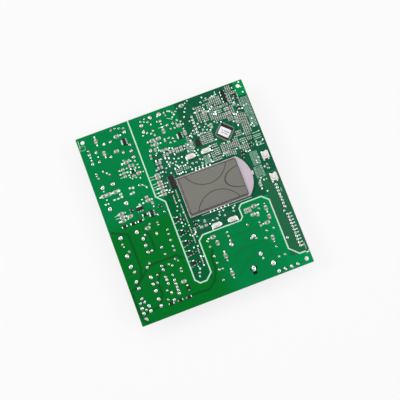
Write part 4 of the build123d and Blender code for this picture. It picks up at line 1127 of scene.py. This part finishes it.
chance = random.Random(11)
taken = [tuple(solid.middle) for solid in chips + joints] + small_holes
test_lands = []
for chip in chips:
    for side in (-1, 1):
        place = chip.middle + side * chip.along * (chip.length / 2 + chance.uniform(1.2, 2.2) * MM)
        spot = (place.x, place.y, solder_face)
        if chance.random() < share_with_land and is_free(spot):
            taken.append(spot)
            if chance.random() < share_with_hole:
                small_holes.append(spot)
            else:
                size = (chance.uniform(0.9, 1.5) * MM, chance.uniform(0.7, 1.0) * MM, land_height)
                test_lands.append((spot, chip.turn, size))
copies("test_lands", bar_shape, test_lands, "solder")
for low_x, low_y, high_x, high_y, count in crowded:
    (x1, y1), (x2, y2) = at(low_x, low_y), at(high_x, high_y)
    for _ in range(count):
        spot = (chance.uniform(x1, x2), chance.uniform(y1, y2), solder_face)
        if is_free(spot):
            small_holes.append(spot)
            taken.append(spot)
hole_sizes = [chance.uniform(0.9, 1.4) * MM for _ in small_holes]
hole_ring = turned_shape("hole_ring", ((0.5, 0.0), (0.46, 1.0), (0.26, 0.9), (0.2, 0.2)), 10)
hole_spots = [(place, 0.0, (size, size, land_height)) for place, size in zip(small_holes, hole_sizes)]
copies("small_holes", hole_ring, hole_spots, "solder")
# Each dark disc is painted shade standing in for the hole's open bore.
dot_share, dot_rise = 0.42, 1.1
dot_spots = [
    (place, 0.0, (dot_share * size, dot_share * size, dot_rise * land_height))
    for place, size in zip(small_holes, hole_sizes)
]
copies("hole_middles", turned_shape("dot", ((0.5, 0.0), (0.5, 1.0)), 8), dot_spots, "dark_hole")

track_height = 0.012 * MM
track_width = 0.28 * MM
shortest_track = 2 * MM
longest_track = 16 * MM
tracks_each = 2
hatch_edge = 1.2 * MM


def track(start, end):
    """Two flat bars from one point to another, a straight run and then a diagonal one.

    Each bar has its own height, so that no two that cross lie in the same plane.
    """
    dx, dy = end[0] - start[0], end[1] - start[1]
    diagonal = min(abs(dx), abs(dy))
    bend = (end[0] - math.copysign(diagonal, dx), end[1] - math.copysign(diagonal, dy))
    found = []
    for (x1, y1), (x2, y2) in ((start[:2], bend), (bend, end[:2])):
        length = math.hypot(x2 - x1, y2 - y1)
        if length > track_width:
            size = (length + track_width, track_width, track_height * chance.uniform(0.6, 1.4))
            turn = math.atan2(y2 - y1, x2 - x1)
            found.append(flat((x1 + x2) / 2, (y1 + y2) / 2, *size, turn))
    return found


ends = [
    point for point in taken
    if any(within(point, at(*low), at(*high), hatch_edge) for low, high in hatched_boxes)
]
tracks, joined = [], set()
for start in ends:
    near = [p for p in ends if shortest_track < math.dist(p[:2], start[:2]) < longest_track]
    for end in chance.sample(near, min(tracks_each, len(near))):
        if (end, start) not in joined:
            joined.add((start, end))
            tracks += track(start, end)
copies("tracks", bar_shape, tracks, "track_coat")

# %% [markdown]
# ## Gaps between the copper areas
# On the mains side the copper is wide areas with a bare gap between them, which shows as a darker band
# in the green. Each gap is a chain of thin flat bars.

# %% Gaps in the copper
gap_height = 0.01 * MM
gap_width = 1.7 * MM
sharpest_mitre = 0.5
gap_routes = (
    ((1.3, 48.7), (5.8, 46.7), (9.7, 45.3), (10.0, 28.0), (8.7, 23.3), (3.5, 18.7),
     (0.6, 18.0)),
    ((3.5, 18.7), (8.0, 22.0), (13.1, 25.7), (17.6, 27.0), (30.8, 27.0), (33.3, 24.7)),
    ((19.5, 43.0), (20.8, 41.3), (20.9, 34.0), (19.3, 32.4)),
    ((4.3, 5.3), (13.1, 6.7), (16.1, 11.3), (16.1, 17.3), (18.3, 21.3), (23.5, 24.0)),
    ((30.8, 6.0), (41.2, 5.7), (45.6, 8.7), (48.2, 14.0), (48.2, 20.7), (50.7, 23.3)),
    ((4.3, 0.7), (1.3, 3.3), (0.9, 16.7)),
)
faint_routes = (
    ((58.8, 6.0), (66.2, 12.0), (70.6, 13.6), (75.1, 13.6)),
    ((59.6, 14.0), (61.1, 16.7), (65.5, 18.5), (78.0, 18.5), (79.5, 17.2), (79.5, 11.3),
     (83.9, 7.6)),
    ((51.5, 25.9), (72.1, 25.9), (78.8, 25.9)),
    ((5.8, 67.3), (11.7, 70.0), (15.3, 75.3), (16.1, 82.0)),
)


def ribbon(routes):
    """Flat ribbons along routes, with mitred corners, each a hair higher than the last."""
    corners, faces = [], []
    for lift, route in enumerate(routes):
        points = [Vector((*at(*place), 0.0)) for place in route]
        runs = [(b - a).normalized() for a, b in zip(points, points[1:])]
        first = len(corners)
        for point, before, after in zip(points, [runs[0]] + runs, runs + [runs[-1]]):
            aside = (before + after).normalized()
            reach = gap_width / 2 / max(sharpest_mitre, aside @ before)
            for side in (-1, 1):
                edge = point + side * reach * Vector((-aside.y, aside.x, 0.0))
                corners.append((edge.x, edge.y, solder_face + gap_height * (1 + lift / 10)))
        faces += [[first + 2 * i + corner for corner in (0, 2, 3, 1)] for i in range(len(runs))]
    return plain_mesh("ribbon", corners, faces)


piece("copper_gaps", ribbon(gap_routes), "dark_coat")
piece("copper_seams", ribbon(faint_routes), "faint_coat")
print("gaps", len(gap_routes), "seams", len(faint_routes))

# %% [markdown]
# ## The far face
# The tall parts hang on the far face, which is under the board here. Its copper has a tinned ring round
# every hole, and its print is a plain outline round each large part.

# %% Far face rings and outlines
far_ring_height = 0.03 * MM
far_ring_share = 0.75
far_line = 0.25 * MM
far_margin = 0.5 * MM
edge_room = 0.2 * MM
far_spots = [
    (
        (joint.middle.x, joint.middle.y, parts_face - far_ring_height), 0.0,
        (far_ring_share * joint.width, far_ring_share * joint.width, far_ring_height),
    )
    for joint in joints
]
far_ring = turned_shape("far_ring", ((0.5, 0.0), (0.5, 1.0)), joint_segments)
copies("far_rings", far_ring, far_spots, "solder")


def fits_board(spot):
    """True where a bar lies wholly on the board, a little inside its edge."""
    place, turn, (length, width, _) = spot
    cosine, sine = abs(math.cos(turn)), abs(math.sin(turn))
    reach_x = (cosine * length + sine * width) / 2 + edge_room
    reach_y = (sine * length + cosine * width) / 2 + edge_room
    return (
        board_low.x + reach_x < place.x < board_high.x - reach_x
        and board_low.y + reach_y < place.y < board_high.y - reach_y
    )


far_outlines = []
for node in (
    "relays", "film_capacitors", "varistors", "disc_capacitors", "axial_resistors", "choke_base",
    "transformer_bobbin", "ignition_transformer", "bridge_rectifier", "quartz_crystal", "service_header",
    "power_connector", "edge_connectors", "fuse_clips", "fuse_glass", "output_choke",
):
    for solid in solids_of(node):
        length, width = solid.length + 2 * far_margin, solid.width + 2 * far_margin
        middle = Vector((solid.middle.x, solid.middle.y, parts_face - legend_height))
        for side in (-1, 1):
            for place, size in (
                (middle + side * solid.across * width / 2, (length, far_line, legend_height)),
                (middle + side * solid.along * length / 2, (far_line, width, legend_height)),
            ):
                far_outlines.append((place, solid.turn, size))
copies("far_outlines", bar_shape, [spot for spot in far_outlines if fits_board(spot)], "print_ink")

# %% [markdown]
# ## Sleeved cans
# An electrolytic capacitor is a metal can in a shrunk sleeve. The sleeve turns over the end of the can
# and leaves a bare disc with a scored cross, and near the seal the can is crimped in. A pale stripe
# marks one side.

# %% Sleeved cans
end_step = 1.4 * MM
end_depth = 0.15 * MM
vent_depth = 0.03 * MM
vent_share = 0.62
vent_half = 0.12 * MM
crimp_depth = 0.35 * MM
crimp_height = 2.6 * MM
stripe_half_angle = math.radians(24)
can_segments = 40


def sleeve_profile(radius, height):
    """Radius and height of a sleeved can, from its bare end to its seal, in metres."""
    crimp = height - crimp_height
    return [
        (radius - end_step, end_depth), (radius - end_step, 0.0), (radius - 0.6 * MM, 0.0),
        (radius - 0.2 * MM, 0.15 * MM), (radius, 0.6 * MM), (radius, crimp - 0.9 * MM),
        (radius - crimp_depth, crimp - 0.4 * MM), (radius - crimp_depth, crimp + 0.3 * MM),
        (radius, crimp + 0.8 * MM), (radius, height - 0.4 * MM), (radius - 0.4 * MM, height),
    ]


def curved_strip(name, radius, low, high, steps=8):
    """A strip round part of an upright can, with no thickness."""
    angles = [stripe_half_angle * (2 * step / steps - 1) for step in range(steps + 1)]
    corners = [(radius * math.cos(a), radius * math.sin(a), z) for a in angles for z in (low, high)]
    return plain_mesh(name, corners, [(2 * i, 2 * i + 2, 2 * i + 3, 2 * i + 1) for i in range(steps)])


for node, turn in (("bulk_capacitor", 0.4), ("output_capacitor", 2.2), ("small_capacitors", 4.0)):
    cans = solids_of(node)
    radius, height = max(cans[0].length, cans[0].width) / 2, cans[0].height
    spots = [(can.middle, turn, (1.0, 1.0, 1.0)) for can in cans]
    sleeve = turned_shape(node + "_sleeve", sleeve_profile(radius, height), can_segments)
    copies(node + "_sleeve", sleeve, spots, "sleeve", replaces=(node,))
    # The bare end lies within the turned-over sleeve, and its scored cross a hair outside it, dark as
    # painted shade.
    disc_profile = ((radius - end_step, 2 * vent_depth), (radius - end_step, end_depth))
    disc = turned_shape(node + "_end", disc_profile, can_segments)
    copies(node + "_end", disc, spots, "can_metal")
    reach = vent_share * radius
    cross = blocks(node + "_vent", [
        ((-x, -y, vent_depth), (x, y, 2 * vent_depth)) for x, y in ((reach, vent_half), (vent_half, reach))
    ])
    copies(node + "_vent", cross, spots, "dark_hole")
    strip = curved_strip(node + "_stripe", radius + 0.02 * MM, 0.9 * MM, height - 3.9 * MM)
    copies(node + "_stripe", strip, spots, "sleeve_stripe")

# %% [markdown]
# ## Windings
# Wound wire shows as rows of rounded turns. They're a ripple in the finish along the coil's own axis,
# with painted shade between the turns, which holds up close without thousands of faces.

# %% Windings
crease_shade_share = 0.3


def darkened(name, mask_of, dark, **others):
    """Mixes a dark colour into a finish, by a mask made in its tree, and feeds its other inputs."""
    tree = FINISHES[name].node_tree
    shader = tree.nodes["Principled BSDF"]
    colour = shader.inputs["Base Color"].links[0].from_socket
    feed(tree, shader, Base_Color=mix_colour(tree, mask_of(tree), colour, dark), **others)


def wound(name, axis, pitch, depth, dark):
    """Adds rounded turns, a pitch apart along one axis, to a finish, with painted shade between them."""
    tree = FINISHES[name].node_tree
    normal = tree.nodes["Principled BSDF"].inputs["Normal"].links[0].from_socket
    phase = sum_of(tree, "MULTIPLY", axes_of(tree)[axis], math.pi / pitch)
    swell = sum_of(tree, "ABSOLUTE", sum_of(tree, "SINE", phase))
    turns = add(tree, "Bump", Distance=depth, Height=swell, Normal=normal).outputs[0]
    darkened(name, lambda tree: sum_of(tree, "LESS_THAN", swell, crease_shade_share), dark, Normal=turns)


# Each dark colour is painted shade between the turns.
wound("copper_winding", "Y", 0.75 * MM, 0.25 * MM, (84, 36, 20))
wound("winding_tape", "Z", 3.7 * MM, 0.05 * MM, (188, 148, 34))
for node, name, finish_name, width, segments in (
    ("choke_windings", "choke_coils", "copper_winding", 1.2, 4),
    ("choke_core", "choke_ferrite", "ferrite", 0.4, 2),
    ("choke_base", "choke_foot", "bobbin_plastic", 0.3, 2),
    ("transformer_winding", "transformer_tape", "winding_tape", 0.3, 2),
    ("transformer_core", "transformer_ferrite", "ferrite", 0.4, 2),
    ("transformer_bobbin", "transformer_frame", "bobbin_plastic", 0.25, 2),
):
    bevelled(node, name, finish_name, width, segments)

# %% [markdown]
# ## Moulded and dipped parts of the far face
# Relays, boxed capacitors and connectors are moulded, so their edges are rounded a little. Varistors
# and disc capacitors are dipped, so theirs are rounded a lot. A relay's case meets its base at a seam.

# %% Far face bodies
seam_z = parts_face - 1.7 * MM
seam_half = 0.12 * MM


def relay_seam(tree):
    """A mask for a level line round every relay."""
    return inside(tree, (-10, -10), (110, 110), seam_z - seam_half, seam_z + seam_half)


darkened("relay_case", relay_seam, (8, 9, 12))
for node, name, finish_name, width, segments in (
    ("relays", "relay_cases", "relay_case", 0.5, 3),
    ("film_capacitors", "film_boxes", "film_case", 0.4, 3),
    ("varistors", "varistor_discs", "varistor_coat", 0.9, 4),
    ("disc_capacitors", "disc_bodies", "disc_coat", 0.7, 3),
    ("bridge_rectifier", "rectifier_body", "black_epoxy", 0.3, 2),
    ("ignition_transformer", "ignition_case", "potting_case", 0.6, 3),
    ("quartz_crystal", "crystal_can", "steel_can", 0.4, 3),
    ("output_choke", "output_choke_sleeve", "shrink_sleeve", 0.6, 3),
    ("power_connector", "power_shell", "connector_white", 0.25, 2),
    ("edge_connectors", "edge_shells", "connector_white", 0.25, 2),
    ("service_header", "service_strip", "connector_black", 0.15, 2),
):
    bevelled(node, name, finish_name, width, segments)

# %% [markdown]
# ## Resistors and the fuse
# A wire resistor is a coated rod, wider over its end caps, with bands of colour that give its value.
# The fuse is a glass tube with one thin wire along it.

# %% Resistors and fuse
rod_segments = 20
band_length = 0.07


def lying(name, profile):
    """A turned shape laid down along its length, with its lowest side at the origin."""
    mesh = turned_shape(name, profile, rod_segments)
    for corner in mesh.vertices:
        x, y, z = corner.co
        corner.co = (z - 0.5, y, x + 0.5)
    return mesh


rods = chip_spots(solids_of("axial_resistors"))
rod_profile = ((0.3, 0.0), (0.44, 0.03), (0.5, 0.1), (0.5, 0.2), (0.42, 0.28), (0.42, 0.72), (0.5, 0.8),
               (0.5, 0.9), (0.44, 0.97), (0.3, 1.0))
copies("resistor_rods", lying("rod", rod_profile), rods, "resistor_coat", replaces=("axial_resistors",))
for name, start, radius in (
    ("brown_band", 0.12, 0.505), ("black_band", 0.34, 0.425), ("red_band", 0.5, 0.425),
    ("gold_band", 0.82, 0.505),
):
    copies(name + "s", lying(name, ((radius, start), (radius, start + band_length))), rods, name)

tree, shader = new_material("fuse_glass")
feed(
    tree, shader, Base_Color=paint(226, 236, 230), Roughness=0.04, IOR=1.3, Transmission_Weight=0.9,
)
tube = solids_of("fuse_glass")[0]
wire_half = 0.12 * MM
wire_reach = 0.62 * tube.length
wire_z = tube.low + tube.height / 2
fuse_wire = blocks("fuse_wire", [(
    (tube.middle.x - wire_half, tube.middle.y - wire_reach, wire_z - wire_half),
    (tube.middle.x + wire_half, tube.middle.y + wire_reach, wire_z + wire_half),
)])
piece("fuse_wire", fuse_wire, "tinned_wire")
print("resistors", len(rods))

# %% [markdown]
# ## The last finishes
# The nodes that keep their own plain mesh still need a finish: films, pins, clips and wire links.

# %% Last finishes
coat_nodes("white_film", "display_reflector", "backlight_led")
coat_nodes("seal", "glass_seal")
coat_nodes("plated_brass", "connector_pins", "fuse_caps", "fuse_clips", "ignition_spade")
coat_nodes("fuse_glass", "fuse_glass")
coat_nodes("tinned_wire", "wire_links")
